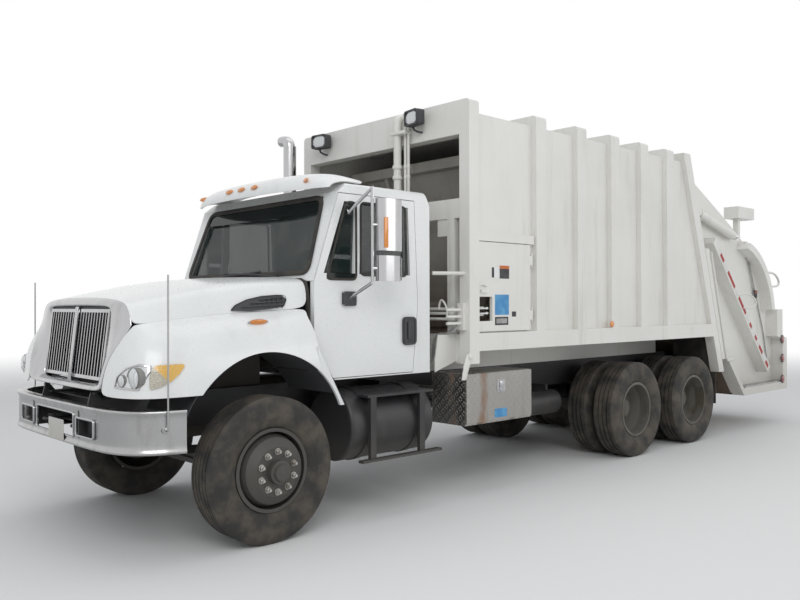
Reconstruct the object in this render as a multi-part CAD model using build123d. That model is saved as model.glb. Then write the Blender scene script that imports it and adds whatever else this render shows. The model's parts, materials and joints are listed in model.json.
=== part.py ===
from build123d import *
import math
import os

# Rear-loading garbage truck, millimetres.
# X runs forward, Y to the vehicle's left, Z up from the ground.
# The origin lies on the ground under the middle of the whole length.

# Overall places along the truck
bumper_reach = 1120  # front axle to the foremost point of the bumper
tail_reach = 8930  # front axle to the rear end of the hopper
front_axle_x = (tail_reach - bumper_reach) / 2
bogie_centre = 5512  # behind the front axle
bogie_spacing = 1320
running_gap = 0.3  # between pieces of different bodies that nearly touch
pin_clearance = 0.05  # radial, shaft in bore

# Tyres and wheels
tyre_radius = 527
tyre_half_width = 140
tread_half_width = 110
bead_radius = 286
rim_half_width = 110
rim_flange_radius = 302
rim_wall = 10
disc_offset = 168  # rim centre to the disc's mounting plane
disc_thickness = 11
disc_flat_radius = 175
front_track_half = 1048
rear_outer_half = 1074
spindle_radius = 45
drum_radius = 205

# Chassis
rail_outer_y = 430
rail_top = 1058
rail_depth = 268
rail_flange = 80
rail_wall = 10
rail_front = 1000  # ahead of the front axle
rail_rear = 6840  # behind the front axle
kingpin_y = 870
kingpin_radius = 24
tow_eye_reach = 1005  # ahead of the front axle
tow_eye_y = 300
tow_eye_radius = 22

# Cab
cab_half_width = 1030
cab_floor_z = 1120
cab_roof_z = 2680
cab_front = 462  # behind the front axle
cab_rear = 1720
cab_wall = 50
door_gap = 6
glass_thickness = 6
visor_top = 2796

# Body
body_half_width = 1220
panel_outer_y = body_half_width - 55
panel_wall = 8
body_front = 2030  # behind the front axle
sill_bottom = 1291
sill_top = 1450
frame_top = 3530
roof_z = frame_top - 100
header_bottom = frame_top - 300
post_depth = 130
rear_frame_top_back = 6045  # rear face of the rear frame at frame_top
rear_frame_slope = 0.3234  # further back for each unit down
rear_frame_width = 160
rear_frame_bottom = 830

# Tailgate
tailgate_half_width = body_half_width - 160
tailgate_wall = 12
tailgate_gap = 10
tailgate_pivot = (6114, frame_top - 48)  # behind the front axle, height


# Places and plain shapes

def behind(distance):
    # x of a place that lies so far behind the front axle
    return front_axle_x - distance


def block(x_range, y_range, z_range):
    size = [abs(b - a) for a, b in (x_range, y_range, z_range)]
    middle = [(a + b) / 2 for a, b in (x_range, y_range, z_range)]
    return Pos(*middle) * Box(*size)


def outline(place, corners):
    # Closed outline: a corner is a point, or (way point, end point) for an arc.
    edges = []
    here = corners[0]
    for corner in list(corners[1:]) + [corners[0]]:
        if isinstance(corner[0], tuple):
            way, end = corner
            edges.append(ThreePointArc(place(here), place(way), place(end)))
        else:
            end = corner
            edges.append(Line(place(here), place(end)))
        here = end
    return make_face(edges)


def side_slab(corners, y_low, y_high):
    # Corners are (distance behind the front axle, height)
    face = outline(lambda point: (behind(point[0]), y_low, point[1]), corners)
    return extrude(face, amount=y_high - y_low, dir=(0, 1, 0))


def plan_slab(corners, z_low, z_high):
    # Corners are (distance behind the front axle, y)
    face = outline(lambda point: (behind(point[0]), point[1], z_low), corners)
    return extrude(face, amount=z_high - z_low, dir=(0, 0, 1))


def cross_slab(corners, x_low, x_high):
    # Corners are (y, z)
    face = outline(lambda point: (x_low, point[0], point[1]), corners)
    return extrude(face, amount=x_high - x_low, dir=(1, 0, 0))


def rod(start, end, radius, bore=0):
    # Round bar or tube between two points
    line = Vector(*end) - Vector(*start)
    plane = Plane(origin=start, z_dir=line)
    round_bar = Cylinder(radius, line.length, align=(Align.CENTER, Align.CENTER, Align.MIN))
    if bore:
        hole = Cylinder(bore, line.length, align=(Align.CENTER, Align.CENTER, Align.MIN))
        round_bar = round_bar - hole
    return plane * round_bar


def pin_y(distance, y_low, y_high, height, radius, bore=0):
    # Round bar or tube that lies across the truck
    place = behind(distance)
    return rod((place, y_low, height), (place, y_high, height), radius, bore)


def flat_bar(start, end, width_y, depth):
    # Square-edged bar between two points that lie in one plane y = constant
    line = Vector(*end) - Vector(*start)
    plane = Plane(origin=start, x_dir=(0, 1, 0), z_dir=line)
    bar = Box(width_y, depth, line.length, align=(Align.CENTER, Align.CENTER, Align.MIN))
    return plane * bar


def right(solid):
    return mirror(solid, about=Plane.XZ)


def turned(profile):
    # Revolves (radius, y) corners about the Y axis through the origin
    return revolve(outline(lambda point: (point[0], point[1], 0), profile), Axis.Y, 360)


def save(name, *shapes):
    solids = []
    for shape in shapes:
        solids.extend(shape.solids())
    whole = solids[0] if len(solids) == 1 else Compound(children=solids)
    whole.label = name
    export_step(whole, f"parts/{name}.step")


# Wheels: outboard is +y, the tyre's middle plane is y = 0

def tyre_ring():
    shoulder_radius = tyre_radius - 26
    belly_radius = (bead_radius + tyre_radius) / 2
    bead_top = rim_flange_radius + 2
    bead_half = rim_half_width - rim_wall
    return turned([
        (bead_radius, -bead_half),
        (bead_top, -bead_half),
        ((belly_radius, -tyre_half_width), (shoulder_radius, -tread_half_width - 14)),
        (tyre_radius, -tread_half_width),
        (tyre_radius, tread_half_width),
        (shoulder_radius, tread_half_width + 14),
        ((belly_radius, tyre_half_width), (bead_top, bead_half)),
        (bead_radius, bead_half),
    ])


def rim_shell():
    # Rim barrel with its two flanges, and the dished disc that leads to the hub
    seat = bead_radius - running_gap
    barrel = turned([
        (seat - rim_wall, -rim_half_width),
        (rim_flange_radius, -rim_half_width),
        (rim_flange_radius, -rim_half_width + rim_wall - running_gap),
        (seat, -rim_half_width + rim_wall - running_gap),
        (seat, rim_half_width - rim_wall + running_gap),
        (rim_flange_radius, rim_half_width - rim_wall + running_gap),
        (rim_flange_radius, rim_half_width),
        (seat - rim_wall, rim_half_width),
    ])
    dish_radius = 226
    disc = turned([
        (seat - rim_wall, 10),
        (seat - rim_wall, 10 + disc_thickness),
        (dish_radius + disc_thickness, disc_offset - 40),
        (disc_flat_radius, disc_offset),
        (spindle_radius + 20, disc_offset),
        (spindle_radius + 20, disc_offset - disc_thickness),
        (disc_flat_radius - 4, disc_offset - disc_thickness),
        (dish_radius, disc_offset - 48),
    ])
    return barrel + disc


def front_wheel(side):
    # Rim, drum and hub turn on the knuckle's spindle
    bore = spindle_radius + pin_clearance
    hub_inner = disc_offset - 200
    hub_outer = disc_offset + 70
    hub = turned([
        (bore, hub_inner),
        (100, hub_inner),
        (100, disc_offset - disc_thickness - 24),
        (disc_flat_radius - 6, disc_offset - disc_thickness - 24),
        (disc_flat_radius - 6, disc_offset - disc_thickness),
        (84, disc_offset - disc_thickness),
        (84, disc_offset + 46),
        (62, disc_offset + 50),
        (58, hub_outer),
        (0, hub_outer + 4),
        (0, disc_offset + 40),
        (bore, disc_offset + 40),
    ])
    drum = turned([
        (drum_radius - 16, -70),
        (drum_radius, -70),
        (drum_radius, 92),
        (98, disc_offset - disc_thickness - 26),
        (98, disc_offset - disc_thickness - 42),
        (drum_radius - 16, 76),
    ])
    place = Pos(front_axle_x, front_track_half, tyre_radius)
    tyre = place * tyre_ring()
    rim = place * (rim_shell() + hub + drum)
    if side == "right":
        tyre, rim = right(tyre), right(rim)
    save(f"tyre_front_{side}", tyre)
    save(f"rim_front_{side}", rim)


def rear_wheel_pair(name, distance, side):
    # Two rims back to back on one hub, the outer one dished inwards
    mount_y = rear_outer_half - disc_offset
    bore = spindle_radius + pin_clearance
    outer = Pos(0, rear_outer_half, 0) * right(rim_shell())
    inner = Pos(0, mount_y - disc_offset, 0) * rim_shell()
    hub = turned([
        (bore, mount_y - 240),
        (112, mount_y - 240),
        (112, mount_y - disc_thickness - 20),
        (disc_flat_radius - 6, mount_y - disc_thickness - 20),
        (disc_flat_radius - 6, mount_y - disc_thickness),
        (110, mount_y - disc_thickness),
        (110, mount_y + 100),
        (92, mount_y + 106),
        (92, mount_y + 130),
        (0, mount_y + 130),
        (0, mount_y + 98),
        (bore, mount_y + 98),
    ])
    drum = turned([
        (drum_radius - 16, mount_y - 250),
        (drum_radius, mount_y - 250),
        (drum_radius, mount_y - 46),
        (110, mount_y - disc_thickness - 16),
        (110, mount_y - disc_thickness - 34),
        (drum_radius - 16, mount_y - 62),
    ])
    place = Pos(behind(distance), 0, tyre_radius)
    tyres = [place * Pos(0, y, 0) * tyre_ring() for y in (rear_outer_half, mount_y - disc_offset)]
    rims = place * (outer + inner + hub + drum)
    if side == "right":
        tyres, rims = [right(tyre) for tyre in tyres], right(rims)
    save(f"tyres_{name}_{side}", *tyres)
    save(f"rims_{name}_{side}", rims)


def wheels():
    for side in ("left", "right"):
        front_wheel(side)
        rear_wheel_pair("forward", bogie_centre - bogie_spacing / 2, side)
        rear_wheel_pair("rearward", bogie_centre + bogie_spacing / 2, side)


# Chassis

def rail(side_sign):
    corners = [
        (rail_outer_y, rail_top - rail_depth),
        (rail_outer_y, rail_top),
        (rail_outer_y - rail_flange, rail_top),
        (rail_outer_y - rail_flange, rail_top - rail_wall),
        (rail_outer_y - rail_wall, rail_top - rail_wall),
        (rail_outer_y - rail_wall, rail_top - rail_depth + rail_wall),
        (rail_outer_y - rail_flange, rail_top - rail_depth + rail_wall),
        (rail_outer_y - rail_flange, rail_top - rail_depth),
    ]
    corners = [(side_sign * y, z) for y, z in corners]
    return cross_slab(corners, behind(rail_rear), behind(-rail_front))


def frame_rails():
    save("frame_rails", rail(1) + front_bracket(1), rail(-1) + front_bracket(-1))


def front_bracket(sign):
    # Plate on the rail's end that carries the bumper and the hood's hinge pin
    inner_face = -bumper_reach + bumper_skin + 8
    low, high = sorted((sign * (rail_outer_y - 4), sign * (rail_outer_y + 12)))
    plate = side_slab([
        (-860, 800), (inner_face, 800), (inner_face, 1000), (-1042, 1000), (-1036, 1040), (-1020, 1100),
        ((-1000, 1115), (-980, 1100)), (-940, 1050), (-860, 1050),
    ], low, high)
    pin_low, pin_high = sorted((sign * (rail_outer_y + 6), sign * 480))
    return plate + pin_y(hood_pivot[0], pin_low, pin_high, hood_pivot[1], hood_pin_radius)


def crossmembers():
    # Channel members between the rails' webs: distance behind the front axle, height share
    members = []
    for distance, depth in ((-880, 200), (1900, 200), (3300, 200), (4300, 180), (5512, 220), (6780, 240)):
        top = rail_top - rail_wall
        half = rail_outer_y - rail_wall
        web = block((behind(distance) - 5, behind(distance) + 5), (-half, half), (top - depth, top))
        for low in (top - 10, top - depth):
            web += block((behind(distance), behind(distance) + 70), (-half, half), (low, low + 10))
        members.append(web)
    for y in (-tow_eye_y, tow_eye_y):
        members[0] += tow_eye(y)
    save("crossmembers", *members)


def tow_eye(y):
    # Flat eye for a shackle's pin, out in front of the foremost member
    x = behind(-tow_eye_reach)
    plate = plan_slab([
        (-880, y - 40), (-tow_eye_reach, y - 40), ((-tow_eye_reach - 40, y), (-tow_eye_reach, y + 40)),
        (-880, y + 40),
    ], 868, 893)
    return plate - rod((x, y, 860), (x, y, 900), tow_eye_radius)


def drivetrain():
    block_half = 320
    engine = block((behind(440), behind(-560)), (-block_half, block_half), (690, 1560))
    engine += block((behind(360), behind(80)), (-210, 210), (640, 700))
    case = rod((behind(430), 0, gearbox_axis + 60), (behind(900), 0, gearbox_axis + 60), 230)
    case += rod((behind(900), 0, gearbox_axis + 40), (behind(1480), 0, gearbox_axis + 20), 170)
    case += rod((behind(1480), 0, gearbox_axis), (behind(1540), 0, gearbox_axis), 70)
    radiator = block((behind(-700), behind(-800)), (-430, 430), (rail_top + 4, 1640))
    save("engine_block", engine + case, radiator)


def driveshafts():
    # From the gearbox flange to the first axle, and on to the second
    fore, aft = bogie_centre - bogie_spacing / 2, bogie_centre + bogie_spacing / 2
    shaft_radius = 50
    flange = behind(1540) - running_gap
    shafts = rod((flange, 0, gearbox_axis), (flange - 24, 0, gearbox_axis), 66)
    shafts += rod(
        (flange - 14, 0, gearbox_axis), (behind(fore - differential_reach + 20), 0, tyre_radius),
        shaft_radius,
    )
    shafts += rod((behind(fore), 0, tyre_radius), (behind(aft), 0, tyre_radius), shaft_radius)
    return shafts


gearbox_axis = 790
differential_reach = 400
differential_radius = 215
housing_half = 65
beam_y = 400


def rear_axles():
    # Square axle arms, round differential bowls with a pinion nose, spindles for the hubs
    mount_y = rear_outer_half - disc_offset
    bogie = driveshafts() + walking_beam(1) + walking_beam(-1)
    for distance in (bogie_centre - bogie_spacing / 2, bogie_centre + bogie_spacing / 2):
        x = behind(distance)
        z_range = (tyre_radius - housing_half, tyre_radius + housing_half)
        arm_end = mount_y - 270
        axle = block((x - housing_half, x + housing_half), (-arm_end, arm_end), z_range)
        axle += Pos(x, 0, tyre_radius) * Sphere(differential_radius)
        nose = rod((x, 0, tyre_radius), (x + differential_reach, 0, tyre_radius), 75)
        axle += nose
        spindle_end = mount_y + 90
        axle += pin_y(distance, -spindle_end, spindle_end, tyre_radius, spindle_radius)
        bogie += axle
    save("rear_bogie", bogie)


def walking_beam(sign):
    # Hangs from a saddle under the rail and carries both axles
    top = tyre_radius - housing_half + 4
    half = bogie_spacing / 2 + 90
    low, high = sorted((sign * (beam_y - 50), sign * (beam_y + 50)))
    beam = side_slab([
        (bogie_centre - half, top), (bogie_centre - half, top - 70),
        ((bogie_centre, top - 150), (bogie_centre + half, top - 70)), (bogie_centre + half, top),
    ], low, high)
    low, high = sorted((sign * (rail_outer_y - rail_flange), sign * rail_outer_y))
    return beam + side_slab([
        (bogie_centre - 90, top - 20), (bogie_centre - 200, rail_top - rail_depth),
        (bogie_centre + 200, rail_top - rail_depth), (bogie_centre + 90, top - 20),
    ], low, high)


spring_y = 390
spring_half_length = 720
beam_pad_z = 570
spring_thickness = 56


def front_springs():
    # Leaf packs with their hangers under the rails
    packs = None
    for sign in (1, -1):
        low, high = sorted((sign * (spring_y - 38), sign * (spring_y + 38)))
        ends = beam_pad_z + 110
        pack = side_slab([
            (-spring_half_length, ends),
            ((0, beam_pad_z), (spring_half_length, ends)),
            (spring_half_length, ends + spring_thickness),
            ((0, beam_pad_z + spring_thickness), (-spring_half_length, ends + spring_thickness)),
        ], low, high)
        for end in (-spring_half_length, spring_half_length):
            pack += side_slab([
                (end - 30, ends), (end + 30, ends),
                (end + 60, rail_top - rail_depth), (end - 60, rail_top - rail_depth),
            ], low, high)
        packs = pack if packs is None else packs + pack
    return packs


def front_axle():
    # Dropped I-beam that ends in an eye for each kingpin
    seat = beam_pad_z - 8
    end_y = kingpin_y - 40
    top = [
        (-end_y, tyre_radius + 40), (-spring_y - 110, seat), (-spring_y + 110, seat),
        (-spring_y + 180, seat - 50), (spring_y - 180, seat - 50), (spring_y - 110, seat),
        (spring_y + 110, seat), (end_y, tyre_radius + 40),
        (end_y, tyre_radius - 50), (spring_y + 60, seat - 130), (-spring_y - 60, seat - 130),
        (-end_y, tyre_radius - 50),
    ]
    flange = cross_slab(top, front_axle_x - 50, front_axle_x + 50)
    for side in (-1, 1):
        low, high = sorted((side * 20, side * 60))
        recess = [(y * 0.93, tyre_radius - 8 + (z - tyre_radius + 8) * 0.55) for y, z in top]
        flange -= cross_slab(recess, front_axle_x + low, front_axle_x + high)
    for side in (-1, 1):
        y = side * kingpin_y
        eye = Pos(front_axle_x, y, tyre_radius) * Cylinder(62, 110)
        flange += eye
    for side in (-1, 1):
        flange -= Pos(front_axle_x, side * kingpin_y, tyre_radius) * Cylinder(
            kingpin_radius + pin_clearance, 140,
        )
    for side in (-1, 1):
        low, high = sorted((side * (spring_y - 38), side * (spring_y + 38)))
        flange += block((front_axle_x - 80, front_axle_x + 80), (low, high), (seat - 22, seat + 30))
    save("front_axle", flange + front_springs())


arm_length = 200
tie_rod_z = 400


def knuckle(side):
    # Fork over the axle's eye, kingpin, spindle and steering arm, in one forging
    eye_half = 55 + running_gap
    fork = Cylinder(kingpin_radius, 2 * eye_half + 90)
    for sign in (1, -1):
        fork += Pos(0, 0, sign * (eye_half + 24)) * Cylinder(60, 48)
    plate = Pos(0, 78, 0) * Box(130, 26, 2 * eye_half + 96)
    for sign in (1, -1):
        fork += Pos(0, 45, sign * (eye_half + 24)) * Box(110, 70, 48)
    fork += plate
    spindle_end = front_track_half - kingpin_y + disc_offset + 30
    fork += rod((0, 60 + 18, 0), (0, spindle_end, 0), spindle_radius)
    arm_z = tie_rod_z - tyre_radius + 45
    arm = plan_arm(arm_z)
    fork += arm
    fork = Pos(front_axle_x, kingpin_y, tyre_radius) * fork
    if side == "right":
        fork = right(fork)
    save(f"knuckle_{side}", fork)


def plan_arm(arm_z):
    # Steering arm behind the axle, with the ball stud that carries the tie rod
    corners = [(-45, 30), (-arm_length - 24, 24), (-arm_length - 24, -24), (-45, -30)]
    face = outline(lambda point: (point[0], point[1], arm_z - 15), corners)
    arm = extrude(face, amount=30, dir=(0, 0, 1))
    arm += Pos(-20, 0, arm_z) * Box(60, 60, 30)
    stud = Pos(-arm_length, 0, arm_z - 40) * Cylinder(12, 60)
    return arm + stud


def tie_rod():
    x = front_axle_x - arm_length
    bar = rod((x, 22 - kingpin_y, tie_rod_z), (x, kingpin_y - 22, tie_rod_z), 16)
    for sign in (-1, 1):
        bar += Pos(x, sign * kingpin_y, tie_rod_z) * Cylinder(30, 36)
        bar -= Pos(x, sign * kingpin_y, tie_rod_z) * Cylinder(12 + pin_clearance, 60)
    save("tie_rod", bar)


# Cab

def cab_side(inset):
    # Side outline of the cab, drawn in by inset on every side
    floor, roof = cab_floor_z + inset, cab_roof_z - inset
    front, rear = cab_front + inset, cab_rear - inset
    return [
        (front + 205, floor), (front, 1420), (front, 1900), (front + 235, 2600),
        (front + 335, roof), (rear - 60, roof), (rear, 2560), (rear, floor),
    ]


door_side = [(650, 1136), (468, 1412), (468, 1893), (706, 2590), (1532, 2590), (1572, 1700), (1512, 1136)]
door_window = [(920, 1955), (945, 2530), (1462, 2530), (1485, 1955)]
vent_window = [(560, 1955), (765, 2530), (885, 2530), (862, 1955)]


def grown(corners, amount):
    # The same straight-sided outline, each side moved out by amount
    count = len(corners)
    area = sum(
        corners[i][0] * corners[(i + 1) % count][1] - corners[(i + 1) % count][0] * corners[i][1]
        for i in range(count)
    )
    turn = amount if area > 0 else -amount
    sides = []
    for i in range(count):
        (x0, z0), (x1, z1) = corners[i], corners[(i + 1) % count]
        length = math.hypot(x1 - x0, z1 - z0)
        normal = ((z1 - z0) / length, -(x1 - x0) / length)
        sides.append((normal, normal[0] * x0 + normal[1] * z0 + turn))
    moved = []
    for i in range(count):
        (a, b), c = sides[i - 1]
        (d, e), f = sides[i]
        share = a * e - b * d
        moved.append(((c * e - b * f) / share, (a * f - c * d) / share))
    return moved


def cab_shell():
    outer = side_slab(cab_side(0), -cab_half_width, cab_half_width)
    long_edges = outer.edges().filter_by(Axis.X).group_by(Axis.Z)[-1]
    outer = fillet(long_edges, 45)
    inner = side_slab(cab_side(cab_wall), -cab_half_width + cab_wall, cab_half_width - cab_wall)
    shell = outer - inner
    opening = side_slab(grown(door_side, door_gap), -cab_half_width - 20, cab_half_width + 20)
    shell -= opening
    glass_half = 930
    front_window = [
        (glass_half, 1965), (glass_half - 70, 2560), (-glass_half + 70, 2560), (-glass_half, 1965),
    ]
    shell -= cross_slab(front_window, behind(cab_front + 300), behind(cab_front - 60))
    rear_window = [(560, 2010), (560, 2480), (-560, 2480), (-560, 2010)]
    shell -= cross_slab(rear_window, behind(cab_rear + 40), behind(cab_rear - cab_wall - 30))
    save("cab_shell", shell)
    pane = [
        (cab_front + 22 + 0.3357 * 65, 1965), (cab_front + 22 + 0.3357 * 660, 2560),
        (cab_front + 30 + 0.3357 * 660, 2560), (cab_front + 30 + 0.3357 * 65, 1965),
    ]
    wind = side_slab(pane, -glass_half, glass_half)
    corner_cut = cross_slab([
        (glass_half - running_gap, 1965 + running_gap), (glass_half - 70 - running_gap, 2560 - running_gap),
        (-glass_half + 70 + running_gap, 2560 - running_gap),
        (-glass_half + running_gap, 1965 + running_gap),
    ], behind(cab_front + 320), behind(cab_front - 60))
    rear_pane = block(
        (behind(cab_rear - 20), behind(cab_rear - 20 - glass_thickness)), (-560, 560), (2010, 2480),
    )
    save("cab_glass", wind & corner_cut, rear_pane)


def sun_visor():
    # Curved lip over the windscreen, closed by cheeks and seated on the roof's front edge
    lip, crown, tail = cab_front + 178, cab_front + 283, cab_front + 538
    half = 1000
    visor = side_slab([
        (lip, 2600), ((lip + 8, 2725), (crown, visor_top)), (tail, visor_top - 26), (tail, cab_roof_z),
        (cab_front + 335, cab_roof_z), (cab_front + 235, 2600),
    ], -half, half)
    visor -= side_slab([
        (lip + 10, 2560), ((lip + 18, 2719), (crown + 5, visor_top - 10)), (tail - 10, visor_top - 35),
        (tail - 10, 2600), (tail - 20, 2560),
    ], -half + 10, half - 10)
    for y in (-860, -250, 0, 250, 860):
        visor += Pos(behind(cab_front + 300), y, visor_top - 6) * lamp_dome()
    save("sun_visor", visor)


def lamp_dome():
    base = Cylinder(42, 10, align=(Align.CENTER, Align.CENTER, Align.MIN))
    dome = Pos(0, 0, 10) * (Sphere(36) & Pos(0, 0, 30) * Box(100, 100, 60))
    return base + dome


def door(side):
    panel = side_slab(door_side, cab_half_width - cab_wall + running_gap, cab_half_width)
    for window in (door_window, vent_window):
        panel -= side_slab(window, cab_half_width - cab_wall - 10, cab_half_width + 10)
    handle = side_slab([(1395, 1370), (1395, 1600), (1535, 1600), (1535, 1370)],
                       cab_half_width, cab_half_width + 22)
    panel += fillet(handle.edges().filter_by(Axis.Y), 30)
    panes = [
        side_slab(window, cab_half_width - 30, cab_half_width - 30 + glass_thickness)
        for window in (door_window, vent_window)
    ]
    head_y = 1330
    foot = block((behind(740), behind(870)), (cab_half_width, cab_half_width + 26), (1700, 1812))
    pivot_x = behind(860)
    arm_low = rod((behind(800), cab_half_width + 20, 1760), (pivot_x, head_y - 70, 1880), 13)
    mast = rod((pivot_x, head_y - 70, 1866), (pivot_x, head_y - 70, 2630), 13)
    arm_top = rod((pivot_x, head_y - 70, 2622), (behind(800), cab_half_width + 10, 2440), 13)
    stay = block((behind(780), behind(820)), (cab_half_width, cab_half_width + 18), (2420, 2460))
    upper = plan_slab([
        (880, head_y - 56), (1130, head_y - 40), (1130, head_y - 22),
        ((1000, head_y + 6), (880, head_y - 18)),
    ], 2130, 2540)
    lower = plan_slab([
        (880, head_y - 56), (1112, head_y - 40), (1112, head_y - 22),
        ((1000, head_y + 6), (880, head_y - 18)),
    ], 1892, 2092)
    links = rod((pivot_x, head_y - 70, 2330), (behind(890), head_y - 40, 2330), 12)
    links += rod((pivot_x, head_y - 70, 1990), (behind(890), head_y - 40, 1990), 12)
    mirror_frame = foot + arm_low + mast + arm_top + stay + upper + lower + links
    shapes = [("door", [panel]), ("door_glass", panes), ("mirror", [mirror_frame])]
    for name, solids in shapes:
        if side == "right":
            solids = [right(solid) for solid in solids]
        save(f"{name}_{side}", *solids)


def cab_inside():
    floor = cab_floor_z + cab_wall
    seats = []
    for y in (-480, 480):
        base = block((behind(1230), behind(850)), (y - 200, y + 200), (floor, floor + 300))
        cushion = side_slab([
            (780, floor + 300), (780, floor + 390), (1300, floor + 400), (1300, floor + 300),
        ], y - 250, y + 250)
        back_rest = side_slab([
            (1240, floor + 400), (1330, floor + 1080), (1440, floor + 1080), (1390, floor + 300),
            (1300, floor + 300),
            (1300, floor + 400),
        ], y - 240, y + 240)
        seats.append(base + cushion + back_rest)
    save("seats", *seats)
    dash = side_slab([
        (cab_front + cab_wall, 1480), (cab_front + cab_wall, 1890), ((620, 1905), (760, 1820)),
        (800, 1640), (700, 1480),
    ], -cab_half_width + cab_wall + 20, cab_half_width - cab_wall - 20)
    hub = Vector(behind(930), -480, 1830)
    column = rod((behind(740), -480, 1704), (hub.X, hub.Y, hub.Z), 28)
    wheel_plane = Plane(origin=hub, z_dir=(-0.55, 0, 0.83))
    rim_ring = wheel_plane * Torus(215, 14)
    spokes = wheel_plane * (Box(430, 30, 12) + Cylinder(55, 24))
    save("dashboard", dash + column + rim_ring + spokes)


# Hood, grille and lamps

# Distance behind the front axle, then top centre z, (y, z) of top edge, crease and fender edge
hood_sections = [
    (-1080, 1742, (700, 1722), (860, 1560), (1150, 1372)),
    (0, 1936, (800, 1882), (905, 1662), (1150, 1366)),
    (440, 1946, (900, 1893), (955, 1680), (1150, 1362)),
]
hood_wall = 22
hood_bottom = 1100
hood_rear = 440
hood_pivot = (-1000, 1100)
hood_pin_radius = 12
grille_half = 537
grille_low, grille_high = 1186, 1685


def hood_loft(inset):
    faces = []
    for distance, top, edge, crease, fender in hood_sections:
        half = [
            (fender[0] - inset, 700), (fender[0] - inset, fender[1] - inset * 0.5),
            (crease[0] - inset * 0.8, crease[1] - inset), (edge[0] - inset * 0.8, edge[1] - inset),
        ]
        ring = half + [(0, top - inset)] + [(-y, z) for y, z in reversed(half)]
        if inset:
            distance += 30 if distance > 0 else 0
        x = behind(distance)
        faces.append(outline(lambda point, x=x: (x, point[0], point[1]), ring))
    return loft(faces, ruled=True)


def hood_plan(inset):
    front = [(-870, 1200), (-1000, 1050), (-1050, 870), (-1040, 720), (-985, 630)]
    front = [(x + inset, y) for x, y in front]
    return [(760, 1200)] + front + [(x, -y) for x, y in reversed(front)] + [(760, -1200)]


def hood_outer():
    side = [
        (-1060, hood_bottom), (-1060, 1180), (-1000, 1420), (-850, 1790), (-850, 2100),
        (hood_rear, 2100), (hood_rear, 1405), (690, 935), (632, 935), ((-34, 1370), (-576, hood_bottom)),
    ]
    return hood_loft(0) & side_slab(side, -1200, 1200) & plan_slab(hood_plan(0), 800, 2100)


def hood_inner():
    side = [
        (-1025, 800), (-1025, 1175), (-963, 1412), (-822, 1765), (-822, 2100), (800, 2100), (800, 800),
    ]
    return hood_loft(hood_wall) & side_slab(side, -1180, 1180) & plan_slab(hood_plan(38), 750, 2150)


def lamp_region(sign):
    corners = [(-1200, 1150), (-1200, 1345), (-760, 1362), (-640, 1322), (-700, 1270), (-900, 1150)]
    low, high = sorted((sign * 690, sign * 1250))
    return side_slab(corners, low, high)


def hood():
    shell = hood_outer() - hood_inner()
    shell -= block((behind(-1300), behind(-800)), (-620, 620), (1000, 1118))
    grille_cut = [
        (grille_half, grille_low), (grille_half + 10, grille_high),
        (-grille_half - 10, grille_high), (-grille_half, grille_low),
    ]
    shell -= cross_slab(grille_cut, behind(-700), behind(-1200))
    lamps = []
    for sign in (1, -1):
        region = lamp_region(sign)
        lamps.extend((shell & region).solids())
        shell -= region
    for sign in (1, -1):
        low, high = sorted((sign * 446, sign * 470))
        ear = side_slab(
            [(-1020, 1100), ((-1000, 1080), (-980, 1100)), (-940, 1180), (-985, 1185)], low, high,
        )
        ear -= pin_y(hood_pivot[0], low - 5, high + 5, hood_pivot[1], hood_pin_radius + pin_clearance)
        shell += ear
    save("hood", shell)
    save("headlamps", *lamps)


def grille():
    # Bright surround with upright bars, set in the hood's front opening
    bar_count = 21
    pitch = 2 * grille_half / (bar_count + 1)
    frame = cross_slab([
        (grille_half - 2, grille_low + 2), (grille_half + 8, grille_high - 2),
        (-grille_half - 8, grille_high - 2), (-grille_half + 2, grille_low + 2),
    ], behind(-860), behind(-1100))
    frame &= side_slab([(-985, 1100), (-985, 1186), (-925, 1685), (-885, 1685), (-945, 1186)], -700, 700)
    opening = frame
    hole = cross_slab([
        (grille_half - 26, grille_low + 26), (grille_half - 18, grille_high - 26),
        (-grille_half + 18, grille_high - 26), (-grille_half + 26, grille_low + 26),
    ], behind(-700), behind(-1200))
    frame = frame - hole
    for index in range(bar_count):
        y = (index - (bar_count - 1) / 2) * pitch
        frame += opening & block((behind(-800), behind(-1100)), (y - 6, y + 6), (grille_low, grille_high))
    save("grille", frame)


# Bumper

bumper_low, bumper_high = 735, 1030
bumper_skin = 8
bumper_plan = [
    (-500, 1290), (-690, 1205), (-1010, 1070), (-bumper_reach + 8, 790),
    (-bumper_reach, 0),
    (-bumper_reach + 8, -790), (-1010, -1070), (-690, -1205), (-500, -1290),
]


def bumper():
    lip = 60
    face = plan_slab(bumper_plan, bumper_low, bumper_high)
    face -= plan_slab(grown(bumper_plan, -lip), bumper_low - 5, bumper_high + 5)
    face -= plan_slab(grown(bumper_plan, -bumper_skin), bumper_low + bumper_skin, bumper_high - bumper_skin)
    face -= block((behind(200), behind(-690)), (-1400, 1400), (600, 1200))
    for low, high, bottom, top in ((-350, 350, 800, 960), (416, 684, 823, 936), (-684, -416, 823, 936)):
        face -= block((behind(-1000), behind(-1200)), (low, high), (bottom, top))
    for sign in (1, -1):
        x, y = behind(-831), sign * 1206
        face += rod((x, sign * 1120, 900), (x, y + sign * 10, 900), 10)
        face += rod((x, y, 900), (x, y, 1910), 6)
    save("front_bumper", face)


# Beside the frame

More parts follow.
